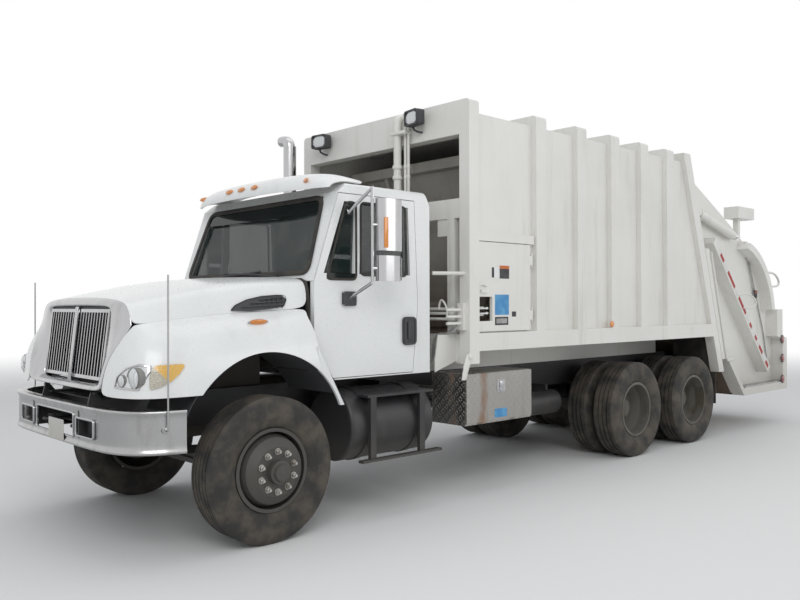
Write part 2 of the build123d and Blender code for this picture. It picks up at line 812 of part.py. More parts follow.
def fuel_tank():
    radius = 290
    y, z = 860, 740
    low, high = 745, 1650
    tank = rod((behind(low), y, z), (behind(high), y, z), radius)
    tank = fillet(tank.edges().filter_by(GeomType.CIRCLE), 30)
    save("fuel_tank", tank, *air_tanks())
    straps = None
    for distance in (930, 1470):
        band = rod(
            (behind(distance - 30), y, z), (behind(distance + 30), y, z), radius + 8, radius + running_gap,
        )
        arm = block(
            (behind(distance - 30), behind(distance + 30)), (rail_outer_y, y - radius * 0.6), (480, 1040),
        )
        arm -= rod((behind(distance - 40), y, z), (behind(distance + 40), y, z), radius + 4)
        straps = band + arm if straps is None else straps + band + arm
    return straps


def cab_steps():
    # Treads carried outside the tank and, on the other side, outside the battery box
    left, right_side = fuel_tank(), battery_box()
    for sign in (1, -1):
        low, high = sorted((sign * 1157, sign * 1190))
        step = block((behind(1500), behind(1440)), (low, high), (470, 992))
        step += block((behind(960), behind(900)), (low, high), (470, 992))
        low, high = sorted((sign * 1052, sign * 1190))
        step += block((behind(1600), behind(870)), (low, high), (974, 992))
        low, high = sorted((sign * 1157, sign * 1215))
        step += block((behind(1680), behind(800)), (low, high), (470, 490))
        if sign > 0:
            left += step
        else:
            right_side += step
    save("cab_steps", left, right_side)


def battery_box():
    box_solid = block((behind(1640), behind(760)), (-1158, -560), (500, 976))
    box_solid = fillet(box_solid.edges().filter_by(Axis.X), 20)
    for distance in (930, 1470):
        box_solid += block(
            (behind(distance + 30), behind(distance - 30)), (-570, -rail_outer_y), (820, 900),
        )
    return box_solid


def toolbox():
    front, rear, inner, outer, low, high = 1990, 2915, 790, 1196, 635, 1090
    wall = 20
    case = block((behind(rear), behind(front)), (inner, outer), (low, high))
    case -= block(
        (behind(rear - wall), behind(front + wall)), (inner + wall, outer + 10), (low + wall, high - wall),
    )
    for distance in (front + 150, rear - 150):
        case += block((behind(distance + 30), behind(distance - 30)), (rail_outer_y, inner), (860, 940))
    barrel_y, barrel_z = outer + 8, low + 8
    lid = block((behind(rear - 4), behind(front + 4)), (outer + 1, outer + 15), (low + 18, high - 4))
    for distance in (front + 200, rear - 260):
        lid += rod(
            (behind(distance), barrel_y, barrel_z), (behind(distance + 60), barrel_y, barrel_z), 7, 3.05,
        )
        lid += block(
            (behind(distance + 60), behind(distance)), (barrel_y - 3, barrel_y + 7),
            (barrel_z + 4, low + 24),
        )
    save("toolbox_door", lid)
    for distance in (front + 200, rear - 260):
        start, end = distance - 20, distance + 80
        case += rod((behind(start), barrel_y, barrel_z), (behind(end), barrel_y, barrel_z), 3)
        for place in (start, end):
            case += block(
                (behind(place + 6), behind(place - 6)), (outer - 2, barrel_y + 4),
                (barrel_z - 4, barrel_z + 4),
            )
    save("toolbox", case)


def air_tanks():
    tanks = []
    for y in (610, -610):
        tank = rod((behind(3300), y, 640), (behind(4080), y, 640), 130)
        tank = fillet(tank.edges().filter_by(GeomType.CIRCLE), 40)
        for distance in (3450, 3930):
            low, high = sorted((math.copysign(rail_outer_y, y), y + math.copysign(20, y)))
            tank += block((behind(distance + 20), behind(distance - 20)), (low, high), (750, 830))
        tanks.append(tank)
    return tanks


def exhaust_stack():
    x, y = behind(1768), -1122
    stack = rod((x, y, 1030), (x, y, 3400), 68)
    stack -= rod((x, y, 1900), (x, y, 3410), 62)
    elbow = rod((x, y, 1030), (x, -470, 960), 58) + Pos(x, y, 1030) * Sphere(68)
    bracket = block((behind(body_front), behind(1830)), (y - 16, y + 16), (2050, 2110))
    save("exhaust_stack", stack + elbow + bracket)


def mud_flaps():
    flaps = []
    front = bogie_centre + bogie_spacing / 2 + tyre_radius + 41
    depth = (behind(front + 12), behind(front))
    for sign in (1, -1):
        low, high = sorted((sign * 610, sign * 1090))
        flap = block(depth, (low, high), (430, sill_bottom))
        low, high = sorted((sign * 610, sign * 1190))
        flaps.append(flap + block(depth, (low, high), (430, 822)))
    save("mud_flaps", *flaps)


# Body

def seal_back(z):
    # Rear face of the body's rear frame, behind the front axle
    return rear_frame_top_back + (frame_top - z) * rear_frame_slope


def frame_front_back(z):
    # Front edge of the rear frame's slanted posts
    return rear_frame_top_back - rear_frame_width + (frame_top - z) * 0.336


sill_inner_y = body_half_width - 120
rib_starts = (2992, 3677, 4301, 4901, 5480)
rib_width = 160
access_low, access_high = 1462, 2274
access_front, access_rear = 2172, 2945


def rib_ring(x_low, x_high):
    outer = cross_slab([
        (body_half_width, sill_top), (body_half_width, frame_top), (-body_half_width, frame_top),
        (-body_half_width, sill_top),
    ], x_low, x_high)
    corner_edges = outer.edges().filter_by(Axis.X).group_by(Axis.Z)[-1]
    outer = fillet(corner_edges, 40)
    inner = block((x_low - 5, x_high + 5), (-panel_outer_y, panel_outer_y), (sill_top - 5, roof_z))
    return outer - inner


def body_frames():
    save("body_ribs", *[rib_ring(behind(start + rib_width), behind(start)) for start in rib_starts])
    front_low, front_high = behind(body_front + post_depth), behind(body_front)
    front = cross_slab([
        (body_half_width, 1180), (body_half_width, frame_top + 5), (-body_half_width, frame_top + 5),
        (-body_half_width, 1180),
    ], front_low, front_high)
    front = fillet(front.edges().filter_by(Axis.X).group_by(Axis.Z)[-1], 40)
    front -= block((front_low - 5, front_high + 5), (-sill_inner_y, sill_inner_y), (1100, header_bottom))
    front += block((front_low, front_high - 30), (-sill_inner_y, sill_inner_y), (1180, sill_top - 12))
    front += block((behind(2130), behind(2050)), (-sill_inner_y, sill_inner_y), (2485, 2660))
    for sign in (1, -1):
        low, high = sorted((sign * (sill_inner_y - 170), sign * (sill_inner_y - 80)))
        front += block((behind(2130), behind(2050)), (low, high), (sill_top - 12, 2485))
        low, high = sorted((sign * 800, sign * (sill_inner_y - 170)))
        front += side_slab([(2060, 2485), (2072, 2485), (2072, 2330), (2060, 2330)], low, high)
        low, high = sorted((sign * panel_outer_y, sign * (body_half_width - 15)))
        front += block((behind(2970), front_low), (low, high), (2280, 2362))
    save("front_frame", front + front_fittings())
    outline_post = [
        (frame_front_back(frame_top), frame_top), (seal_back(frame_top), frame_top),
        (seal_back(rear_frame_bottom), rear_frame_bottom),
        (frame_front_back(rear_frame_bottom), rear_frame_bottom),
    ]
    rear = side_slab(outline_post, -body_half_width, body_half_width)
    rear -= side_slab([
        (5000, 600), (5000, sill_bottom), (8000, sill_bottom), (8000, 600),
    ], -sill_inner_y, sill_inner_y)
    rear -= side_slab([
        (5000, sill_top - 12), (5000, roof_z), (8000, roof_z), (8000, sill_top - 12),
    ], -sill_inner_y, sill_inner_y)
    for y in (-760, 760):
        rear += hinge_ear(y - 50, y - 20)
        rear += hinge_ear(y + 20, y + 50)
        rear += pin_y(tailgate_pivot[0], y - 56, y + 56, tailgate_pivot[1], 24)
    for sign in (1, -1):
        rear += lift_foot(sign)
    save("rear_frame", rear)


def hinge_ear(y_low, y_high):
    back, height = tailgate_pivot
    return side_slab([
        (back - 150, frame_top), (back - 40, height + 50), ((back + 8, height + 55), (back + 54, height)),
        (back + 30, height - 46), (seal_back(height - 60) - 20, height - 60), (back - 110, frame_top - 70),
    ], y_low, y_high)


track_top = (6600, 2602)  # on the line of the carriage's channel
lift_y = body_half_width - 80
lift_base = (6372, track_top[1] + 248)
lift_eye = (7440, track_top[1] - 5)
lift_pin_radius = 20


def lift_foot(sign):
    # Clevis on the post that carries the lift cylinder's foot
    foot = None
    back, height = lift_base
    for inner, outer in ((lift_y - 46, lift_y - 26), (lift_y + 26, lift_y + 46)):
        low, high = sorted((sign * inner, sign * outer))
        plate = side_slab([
            (seal_back(height + 60) - 20, height + 60), (back, height + 36),
            ((back + 36, height), (back, height - 36)),
            (seal_back(height - 60) - 20, height - 60),
        ], low, high)
        foot = plate if foot is None else foot + plate
    low, high = sorted((sign * (lift_y - 50), sign * (lift_y + 50)))
    return foot + pin_y(back, low, high, height, lift_pin_radius)


def body_panels():
    top = roof_z - panel_wall
    front = body_front + post_depth
    corners = [
        (front, sill_top), (front, top), (frame_front_back(top), top),
        (frame_front_back(sill_top), sill_top),
    ]
    left = side_slab(corners, panel_outer_y - panel_wall, panel_outer_y)
    left -= block(
        (behind(access_rear - 25), behind(access_front + 25)),
        (panel_outer_y - 65, panel_outer_y + 35), (access_low + 20, access_high - 20),
    )
    shell = left + access_pins() + side_slab(corners, -panel_outer_y, -panel_outer_y + panel_wall)
    roof = side_slab([
        (front, top), (front, roof_z), (frame_front_back(roof_z), roof_z), (frame_front_back(top), top),
    ], -panel_outer_y, panel_outer_y)
    save("body_shell", shell + roof)
    floor = side_slab([
        (body_front + 30, sill_top - 12), (body_front + 30, sill_top), (seal_back(sill_top), sill_top),
        (seal_back(sill_top - 12), sill_top - 12),
    ], -sill_inner_y + 171, sill_inner_y - 171)
    wings = side_slab([
        (front, sill_top - 12), (front, sill_top), (seal_back(sill_top), sill_top),
        (seal_back(sill_top - 12), sill_top - 12),
    ], -sill_inner_y, sill_inner_y)
    save("body_floor", floor + wings + ram_foot())


def body_subframe():
    long_low, long_high = behind(6600), behind(2200)
    sub = None
    for sign in (1, -1):
        low, high = sorted((sign * (rail_outer_y - rail_flange), sign * rail_outer_y))
        member = block((long_low, long_high), (low, high), (rail_top, sill_bottom))
        sub = member if sub is None else sub + member
        low, high = sorted((sign * sill_inner_y, sign * body_half_width))
        front = body_front + post_depth
        sub += side_slab([
            (front, sill_bottom), (front, sill_top), (frame_front_back(sill_top), sill_top),
            (frame_front_back(sill_bottom), sill_bottom),
        ], low, high)
    for distance in (2260, 2992, 3760, 4380, 4980, 5560, 6200):
        sub += block((behind(distance + 50), behind(distance - 50)), (-sill_inner_y - 4, sill_inner_y + 4),
                     (sill_bottom - 3, sill_top - 12))
    save("body_subframe", sub)


def access_door():
    inner, outer = panel_outer_y + 1, panel_outer_y + 33
    gap = 4
    panel = block(
        (behind(access_rear - gap - 22), behind(access_front)), (inner, outer), (access_low, access_high),
    )
    panel -= block(
        (behind(access_front + 190), behind(access_front - 20)), (inner - 5, outer + 5), (1556, 1777),
    )
    hinge_x, hinge_y = access_rear, outer - 4
    for low in (1560, 2080):
        panel += rod((behind(hinge_x), hinge_y, low), (behind(hinge_x), hinge_y, low + 90), 11, 5.05)
        panel += block((behind(hinge_x - 8), behind(hinge_x - 60)), (outer - 4, outer + 2), (low, low + 90))
    panel += block((behind(2260), behind(2190)), (outer, outer + 24), (1815, 1840))
    save("access_door", panel)


def access_pins():
    # Fixed halves of the access door's hinges
    hinge_y = panel_outer_y + 29
    pins = None
    for low in (1560, 2080):
        pin = rod((behind(access_rear), hinge_y, low - 20), (behind(access_rear), hinge_y, low + 110), 5)
        for z in (low - 20, low + 98):
            pin += block(
                (behind(access_rear + 12), behind(access_rear - 6)),
                (panel_outer_y - 4, hinge_y + 5), (z, z + 12),
            )
        pins = pin if pins is None else pins + pin
    return pins


def front_fittings():
    # Valve block with its pipes, packing levers, grab rail, gusset plates and work lamps of the front frame
    fittings = block((behind(2040), behind(1990)), (sill_inner_y + 10, sill_inner_y + 80), (1480, 1720))
    for z in (1540, 1600, 1660):
        fittings += rod((behind(2000), sill_inner_y + 45, z), (behind(1840), sill_inner_y + 20, z), 13)
    for z in (1610, 1680):
        fittings += rod((behind(2150), sill_inner_y + 30, z), (behind(2300), sill_inner_y + 40, z), 8)
    fittings += rod((behind(1775), 1008, 1983), (behind(2050), sill_inner_y + 60, 1983), 17)
    for sign in (1, -1):
        low, high = sorted((sign * 1016, sign * 1028))
        fittings += side_slab(
            [(1790, 1115), (1790, 1220), (1830, 1440), (2062, 1440), (2062, 1200)], low, high,
        )
    for y in (-833, 606):
        lamp = block((behind(2040), behind(1960)), (y - 60, y + 60), (frame_top - 130, frame_top - 40))
        fittings += fillet(lamp.edges().filter_by(Axis.X), 16)
    return fittings


# Ejector with its telescopic cylinder

ejector_half = panel_outer_y - 80
ram_base = (2092, 1640)
ram_eye = (3162, ram_base[1])


def ejector():
    back, height = ram_eye
    skin = [
        (3330, 1456), (3290, 1900), (3130, 2500), (2760, 3180), (2700, 3180), (3060, 2490),
        (3215, 1900), (3240, 1456),
    ]
    panel = side_slab(skin, -ejector_half, ejector_half)
    panel += side_slab([(2560, 1456), (2560, 1520), (3260, 1600), (3260, 1456)], 700, 1040)
    panel += side_slab([(2560, 1456), (2560, 1520), (3260, 1600), (3260, 1456)], -1040, -700)
    for y in (-1040, -560, 560, 1040):
        panel += side_slab([
            (3215, 1560), (3180, 1900), (3030, 2480), (2700, 3150), (2620, 3150), (2860, 2480),
            (2960, 1900),
            (2990, 1560),
        ], y - 20, y + 20)
    panel += block((behind(2730), behind(2600)), (-ejector_half, ejector_half), (3080, 3180))
    for inner, outer in ((-72, -48), (48, 72)):
        panel += side_slab([
            (3236, height + 90), (back, height + 60), ((back - 60, height), (back, height - 60)),
            (3236, height - 90),
        ], inner, outer)
    panel += pin_y(back, -80, 80, height, 30)
    save("ejector", panel)


ram_sections = [  # outer radius, start of the tube: measured along the closed ram from its foot
    (95, 60),
    (78, 76),
    (62, 92),
    (46, 108),
]
ram_stroke = 850  # of each stage in the one outside it
ram_overlap = 44  # length still held when a stage is right out


def ejector_ram():
    # Foot pinned on the floor frame, eye at the ejector; each stage slides in the one outside it
    base = Vector(behind(ram_base[0]), 0, ram_base[1])
    eye = Vector(behind(ram_eye[0]), 0, ram_eye[1])
    length = (eye - base).length
    frame = Plane(origin=base, x_dir=(0, 1, 0), z_dir=eye - base)
    along = (Align.CENTER, Align.CENTER, Align.MIN)
    wall_gap = 2
    names = ("ram_barrel", "ram_stage_outer", "ram_stage_middle", "ram_stage_inner")
    for index, (radius, low) in enumerate(ram_sections):
        high = length if index == 3 else ram_sections[index + 1][1] + ram_stroke + ram_overlap
        tube = Pos(0, 0, low) * Cylinder(radius, high - low, align=along)
        if index < 3:
            bore = ram_sections[index + 1][0] + wall_gap
            tube -= Pos(0, 0, low + 14) * Cylinder(bore, 3000, align=along)
        if index == 0:
            foot = Rot(90, 0, 0) * Cylinder(60, 70)
            foot = Rot(0, 0, 90) * foot
            tube += foot + Pos(0, 0, 50) * Cylinder(44, 34)
            tube -= Rot(0, 90, 0) * Cylinder(30 + pin_clearance, 200)
        if index == 3:
            head = Pos(0, 0, length) * Rot(0, 90, 0) * Cylinder(55, 80)
            tube += head
            tube -= Pos(0, 0, length) * Rot(0, 90, 0) * Cylinder(30 + pin_clearance, 200)
        save(names[index], frame * tube)


def ram_foot():
    # Clevis on the floor that holds the ram's foot
    foot = pin_y(ram_base[0], -78, 78, ram_base[1], 30)
    for inner, outer in ((-72, -48), (48, 72)):
        plate = side_slab([
            (ram_base[0] - 58, sill_top - 6), (ram_base[0] - 46, ram_base[1] + 16),
            ((ram_base[0], ram_base[1] + 52), (ram_base[0] + 46, ram_base[1] + 16)),
            (ram_base[0] + 54, sill_top - 6),
        ], inner, outer)
        foot += plate
    return foot


# Tailgate: hopper, side tracks, sliding carriage and sweeping blade

track_bottom = (8301, 778)
track_setback = 120  # from the top of the line to the channel's end, clear of the lift cylinder
blade_low_hinge = (7950, 1250)  # the blade's hinge at the end of the carriage's stroke
carriage_stroke = 950
blade_length = 650
hopper_radius = 670
tailgate_top = frame_top - 130
tailgate_bottom = 470
inner_half = tailgate_half_width - tailgate_wall


def track_direction():
    run = track_bottom[0] - track_top[0]
    drop = track_bottom[1] - track_top[1]
    length = math.hypot(run, drop)
    return run / length, drop / length


def blade_home():
    along = track_direction()
    return (
        blade_low_hinge[0] - along[0] * carriage_stroke,
        blade_low_hinge[1] - along[1] * carriage_stroke,
    )


def from_hinge(hinge, down, outward):
    # Point given along the track direction and square to it, towards the body
    along = track_direction()
    inwards = (along[1], -along[0])
    return (
        hinge[0] + along[0] * down + inwards[0] * outward,
        hinge[1] + along[1] * down + inwards[1] * outward,
    )


def tailgate_front(z):
    return seal_back(z) + tailgate_gap


def tailgate_sides():
    sides = []
    plate = [
        (tailgate_front(tailgate_top), tailgate_top), (7310, 2838), (7750, 2610),
        ((8265, 2190), (8520, 1620)),
        (8780, 1620), (8780, 1240), (8930, 1200), (8930, tailgate_bottom), (7480, tailgate_bottom + 30),
        (7030, 990), (tailgate_front(990), 990),
    ]
    column = [
        (tailgate_front(2400), 2400), (tailgate_front(2400) + 110, 2400), (tailgate_front(990) + 120, 990),
        (tailgate_front(990), 990),
    ]
    arc_band = [
        (7660, 2450), ((8185, 2120), (8430, 1620)), (8520, 1620), ((8265, 2190), (7720, 2530)),
    ]
    toe_band = [(7030, 990), (7480, 500), (7570, 500), (7110, 1000)]
    rear_band = [
        (8600, 1240), (8600, 1620), (8780, 1620), (8780, 1240),
        (8930, 1200), (8930, 470), (8790, 470), (8790, 1180),
    ]
    step_band = [(7480, 500), (7560, 590), (8790, 590), (8790, 470), (7520, 470)]
    for sign in (1, -1):
        low, high = sorted((sign * inner_half, sign * tailgate_half_width))
        side = side_slab(plate, low, high)
        low, high = sorted((sign * tailgate_half_width, sign * body_half_width))
        for band in (column, arc_band, toe_band, rear_band, step_band):
            side += side_slab(band, low, high)
        middle = sign * (tailgate_half_width + body_half_width) / 2
        along = track_direction()
        start = (
            behind(track_top[0] + along[0] * track_setback), middle, track_top[1] + along[1] * track_setback,
        )
        end = (behind(track_bottom[0]), middle, track_bottom[1])
        side += flat_bar(start, end, body_half_width - tailgate_half_width, 110)
        sides.append(side)
    save("tailgate_sides", *sides)


def tailgate_shell():
    cover = side_slab([
        (tailgate_front(tailgate_top), tailgate_top), (7310, 2838), (7750, 2610), (8060, 2400),
        (8053, 2390), (7744, 2599), (7305, 2826), (tailgate_front(tailgate_top - 12), tailgate_top - 12),
    ], -inner_half, inner_half)
    back, height = tailgate_pivot
    for y in (-760, 760):
        lug = side_slab([
            (back - 8, height - 40), ((back - 38, height + 4), (back, height + 40)),
            (back + 60, height + 20), (back + 300, 3280), (back + 300, 3244),
            (back + 20, tailgate_top - 26),
        ], y - 18, y + 18)
        lug -= pin_y(back, y - 30, y + 30, height, 24 + pin_clearance)
        cover += lug
    cover += block((behind(8030), behind(7960)), (870, 940), (2440, 2910))
    cover += block((behind(8330), behind(7830)), (800, 1010), (2900, 3060))
    save("tailgate_cover", cover)
    centre, radius = blade_low_hinge, hopper_radius
    skin = 12
    along = track_direction()
    square = (along[1], -along[0])
    sill = sill_top

    def on_slope(offset_out, z):
        start = (centre[0] + square[0] * offset_out, centre[1] + square[1] * offset_out)
        return (start[0] + (z - start[1]) * along[0] / along[1], z)

    def on_arc(offset_out, toward):
        return (centre[0] + toward[0] * offset_out, centre[1] + toward[1] * offset_out)

    floor = side_slab([
        (tailgate_front(sill), sill), on_slope(radius, sill), on_arc(radius, square),
        (on_arc(radius, (0, -1)), on_arc(radius, (1, 0))), on_arc(radius + skin, (1, 0)),
        (on_arc(radius + skin, (0, -1)), on_arc(radius + skin, square)),
        on_slope(radius + skin, sill - skin),
        (tailgate_front(sill - skin), sill - skin),
    ], -inner_half, inner_half)
    edge = centre[0] + radius + skin / 2
    sill_beam = side_slab([
        (edge, 1252), (8780, 1240), (tail_reach, 1200), (tail_reach, tailgate_bottom),
        (8790, tailgate_bottom),
        (8790, 1120), (edge, 1120),
    ], -inner_half, inner_half)
    toe = side_slab([(7030, 990), (7480, 500), (7530, 500), (7080, 995)], -inner_half, inner_half)
    toe += side_slab(
        [(7480, 500), (7530, 540), (8788, 510), (8788, 470), (7520, 470)], -inner_half, inner_half,
    )
    save("hopper", floor + sill_beam, toe)


def packer_carriage():
    hinge = blade_home()
    plate = [
        from_hinge(hinge, down, out)
        for down, out in ((-70, -55), (-70, 55), (-1150, 55), (-1150, -55))
    ]
    carriage = side_slab(plate, -tailgate_half_width + 40, tailgate_half_width - 40)
    for sign in (1, -1):
        low, high = sorted((sign * 890, sign * 930))
        lug = side_slab([
            from_hinge(hinge, -120, -50), from_hinge(hinge, 0, -44),
            (from_hinge(hinge, 44, 0), from_hinge(hinge, 0, 44)), from_hinge(hinge, -120, 50),
        ], low, high)
        carriage += lug
        low, high = sorted((sign * (tailgate_half_width - 45), sign * (tailgate_half_width - 18)))
        for start, end in ((-300, -120), (-1120, -940)):
            shoe = [from_hinge(hinge, start, -50), from_hinge(hinge, start, 50), from_hinge(hinge, end, 50),
                    from_hinge(hinge, end, -50)]
            carriage += side_slab(shoe, low, high)
    carriage += pin_y(hinge[0], -945, 945, hinge[1], 25)
    save("packer_carriage", carriage)


def packer_blade():
    hinge = blade_home()
    corners = [
        from_hinge(hinge, 34, 20), from_hinge(hinge, -34, 20), from_hinge(hinge, -20, 300),
        from_hinge(hinge, -14, blade_length - 6), from_hinge(hinge, 6, blade_length - 1),
        from_hinge(hinge, 26, blade_length - 60), from_hinge(hinge, 90, 300), from_hinge(hinge, 70, 80),
    ]
    blade = side_slab(corners, -880, 880)
    for sign in (1, -1):
        low, high = sorted((sign * 870, sign * (tailgate_half_width - 30)))
        wing = [from_hinge(hinge, down, out) for down, out in
                ((-22, 70), (-20, 300), (-14, blade_length - 6), (6, blade_length - 1),
                (26, blade_length - 60),
                 (90, 300), (60, 70))]
        blade += side_slab(wing, low, high)
    blade += pin_y(hinge[0], -880, 880, hinge[1], 50)
    blade -= pin_y(hinge[0], -900, 900, hinge[1], 25 + pin_clearance)
    save("packer_blade", blade)


def lift_cylinders():
    barrels, rods = [], []
    for sign in (1, -1):
        y = sign * lift_y
        foot = Vector(behind(lift_base[0]), y, lift_base[1])
        eye = Vector(behind(lift_eye[0]), y, lift_eye[1])
        length = (eye - foot).length
        plane = Plane(origin=foot, x_dir=(0, 1, 0), z_dir=eye - foot)
        along = (Align.CENTER, Align.CENTER, Align.MIN)
        barrel = Pos(0, 0, 50) * Cylinder(54, 970, align=along)
        barrel += Rot(0, 90, 0) * Cylinder(36, 50)
        barrel += Pos(0, 0, 20) * Cylinder(24, 50, align=along)
        barrel -= Pos(0, 0, 70) * Cylinder(34, 1000, align=along)
        barrel -= Rot(0, 90, 0) * Cylinder(lift_pin_radius + pin_clearance, 120)
        piston = Pos(0, 0, 90) * Cylinder(32, length - 90, align=along)
        piston += Pos(0, 0, length) * Rot(0, 90, 0) * Cylinder(36, 52)
        low, high = sorted((sign * (tailgate_half_width + running_gap), sign * (lift_y + 48)))
        barrels.append(plane * barrel)
        rods.append(plane * piston + pin_y(lift_eye[0], low, high, lift_eye[1], lift_pin_radius))
    save("lift_barrels", *barrels)
    save("lift_rods", *rods)


def main():
    os.makedirs("parts", exist_ok=True)
    wheels()
    for piece in (
        frame_rails, crossmembers, drivetrain, rear_axles, front_axle, tie_rod, cab_shell, sun_visor,
        cab_inside,
        hood, grille, bumper, cab_steps, toolbox, exhaust_stack, mud_flaps, body_frames, body_panels,
        body_subframe, access_door, ejector, ejector_ram, tailgate_sides, tailgate_shell, packer_carriage,
        packer_blade, lift_cylinders,
    ):
        piece()
    for side in ("left", "right"):
        knuckle(side)
        door(side)


main()
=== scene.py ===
import json
import math

import bpy
from mathutils import Matrix, Vector


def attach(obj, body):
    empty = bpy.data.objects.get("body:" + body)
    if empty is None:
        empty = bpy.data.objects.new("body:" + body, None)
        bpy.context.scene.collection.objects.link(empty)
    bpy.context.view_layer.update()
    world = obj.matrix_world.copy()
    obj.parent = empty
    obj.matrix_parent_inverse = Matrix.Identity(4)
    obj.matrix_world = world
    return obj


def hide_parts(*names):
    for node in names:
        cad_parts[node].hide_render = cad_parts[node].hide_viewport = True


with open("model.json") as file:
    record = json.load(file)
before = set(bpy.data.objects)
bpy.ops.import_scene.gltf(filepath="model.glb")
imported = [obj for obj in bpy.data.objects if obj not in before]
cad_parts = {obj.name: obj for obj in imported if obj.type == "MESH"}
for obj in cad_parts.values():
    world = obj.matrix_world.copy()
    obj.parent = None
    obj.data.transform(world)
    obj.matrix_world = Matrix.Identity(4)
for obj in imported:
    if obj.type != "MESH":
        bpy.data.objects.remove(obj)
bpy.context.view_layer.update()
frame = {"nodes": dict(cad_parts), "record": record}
nodes = frame["nodes"]
print("frame loaded:", len(nodes), "nodes")


class Wire:
    # An output socket that sums can be written with
    def __init__(self, finish, socket):
        self.finish = finish
        self.socket = socket

    def out(self, name):
        return Wire(self.finish, self.socket.node.outputs[name])

    def sum(self, operation, first, second):
        return self.finish.add("ShaderNodeMath", {"operation": operation}, {0: first, 1: second})

    def __add__(self, other):
        return self.sum("ADD", self, other)

    def __radd__(self, other):
        return self.sum("ADD", other, self)

    def __sub__(self, other):
        return self.sum("SUBTRACT", self, other)

    def __rsub__(self, other):
        return self.sum("SUBTRACT", other, self)

    def __mul__(self, other):
        return self.sum("MULTIPLY", self, other)

    def __rmul__(self, other):
        return self.sum("MULTIPLY", other, self)

    def __truediv__(self, other):
        return self.sum("DIVIDE", self, other)


class Finish:
    # One node material, built up by add()
    def __init__(self, name):
        self.material = bpy.data.materials.new(name)
        self.material.use_nodes = True
        self.tree = self.material.node_tree
        self.shader = self.tree.nodes["Principled BSDF"]
        self.place = self.add("ShaderNodeTexCoord").out("Object")

    def feed(self, socket, value):
        if isinstance(value, Wire):
            self.tree.links.new(value.socket, socket)
        elif isinstance(value, (tuple, list)) and len(value) == 3 and socket.type == "RGBA":
            socket.default_value = (*value, 1)
        else:
            socket.default_value = value

    def add(self, kind, settings=None, values=None):
        node = self.tree.nodes.new(kind)
        for key, setting in (settings or {}).items():
            if key == "stops":
                ramp = node.color_ramp
                ramp.elements[0].position, ramp.elements[0].color = setting[0][0], (*setting[0][1], 1)
                ramp.elements[1].position, ramp.elements[1].color = setting[-1][0], (*setting[-1][1], 1)
                for position, colour in setting[1:-1]:
                    ramp.elements.new(position).color = (*colour, 1)
            else:
                setattr(node, key, setting)
        for key, value in (values or {}).items():
            self.feed(node.inputs[key], value)
        shown = next(socket for socket in node.outputs if socket.enabled)
        return Wire(self, shown)

    def noise(self, scale, stretch=(1, 1, 1), detail=4, rough=0.55):
        spot = self.add("ShaderNodeMapping", None, {"Vector": self.place, "Scale": stretch})
        values = {"Vector": spot, "Scale": scale, "Detail": detail, "Roughness": rough}
        return self.add("ShaderNodeTexNoise", None, values)

    def fade(self, value, low, high, start=0.0, end=1.0):
        # Smooth step from start at low to end at high
        values = {"Value": value, "From Min": low, "From Max": high, "To Min": start, "To Max": end}
        if low > high:
            values.update({"From Min": high, "From Max": low, "To Min": end, "To Max": start})
        return self.add("ShaderNodeMapRange", {"interpolation_type": "SMOOTHSTEP"}, values)

    def mix(self, factor, first, second, blend="MIX"):
        values = {0: factor, 6: first, 7: second}
        return self.add("ShaderNodeMix", {"data_type": "RGBA", "blend_type": blend}, values)

    def axis(self, name):
        return self.add("ShaderNodeSeparateXYZ", None, {0: self.place}).out(name)

    def bump(self, height, distance, strength=1.0):
        values = {"Height": height, "Distance": distance, "Strength": strength}
        return self.add("ShaderNodeBump", None, values)

    def finish(self, **sockets):
        for name, value in sockets.items():
            self.feed(self.shader.inputs[name.replace("_", " ")], value)
        return self.material


def sheetPaint(name, look):
    # Painted sheet metal: paint that varies a little, dirt low down, streaks and rust where it runs
    f = Finish(name)
    patch = f.noise(1.6, detail=5)
    fine = f.noise(55, detail=5, rough=0.65)
    streak = f.noise(7, stretch=(1, 1, 0.12), detail=6, rough=0.6)
    height = f.axis("Z")
    low = f.fade(height + patch * 0.5, look["dirtTop"] + 0.25, look["dirtTop"] - 0.45)
    run = f.fade(streak, 0.52, 0.76) * look["streaks"]
    grime = f.add("ShaderNodeMath", {"operation": "ADD", "use_clamp": True}, {0: low * look["dirt"], 1: run})
    colour = f.mix(f.fade(patch, 0.35, 0.7) * 0.6, look["paint"], look["paintWorn"])
    colour = f.mix(grime, colour, look["dirtColour"])
    spots = f.fade(f.noise(look.get("spotScale", 26), detail=7, rough=0.72), 0.66, 0.74)
    spots = spots * f.fade(f.noise(1.1, detail=3), 0.45, 0.62) * look["rust"]
    colour = f.mix(spots, colour, look.get("rustColour", (0.2, 0.075, 0.03)))
    rough = look["rough"] + grime * 0.3 + fine * 0.08 + spots * 0.3
    normal = f.bump(fine * 0.4 + patch * 0.6 + spots * 0.5, look.get("bump", 0.0012), 0.35)
    return f.finish(Base_Color=colour, Roughness=rough, Normal=normal, Metallic=look.get("metal", 0.0),
                    Coat_Weight=look.get("coat", 0.0), Coat_Roughness=0.12)


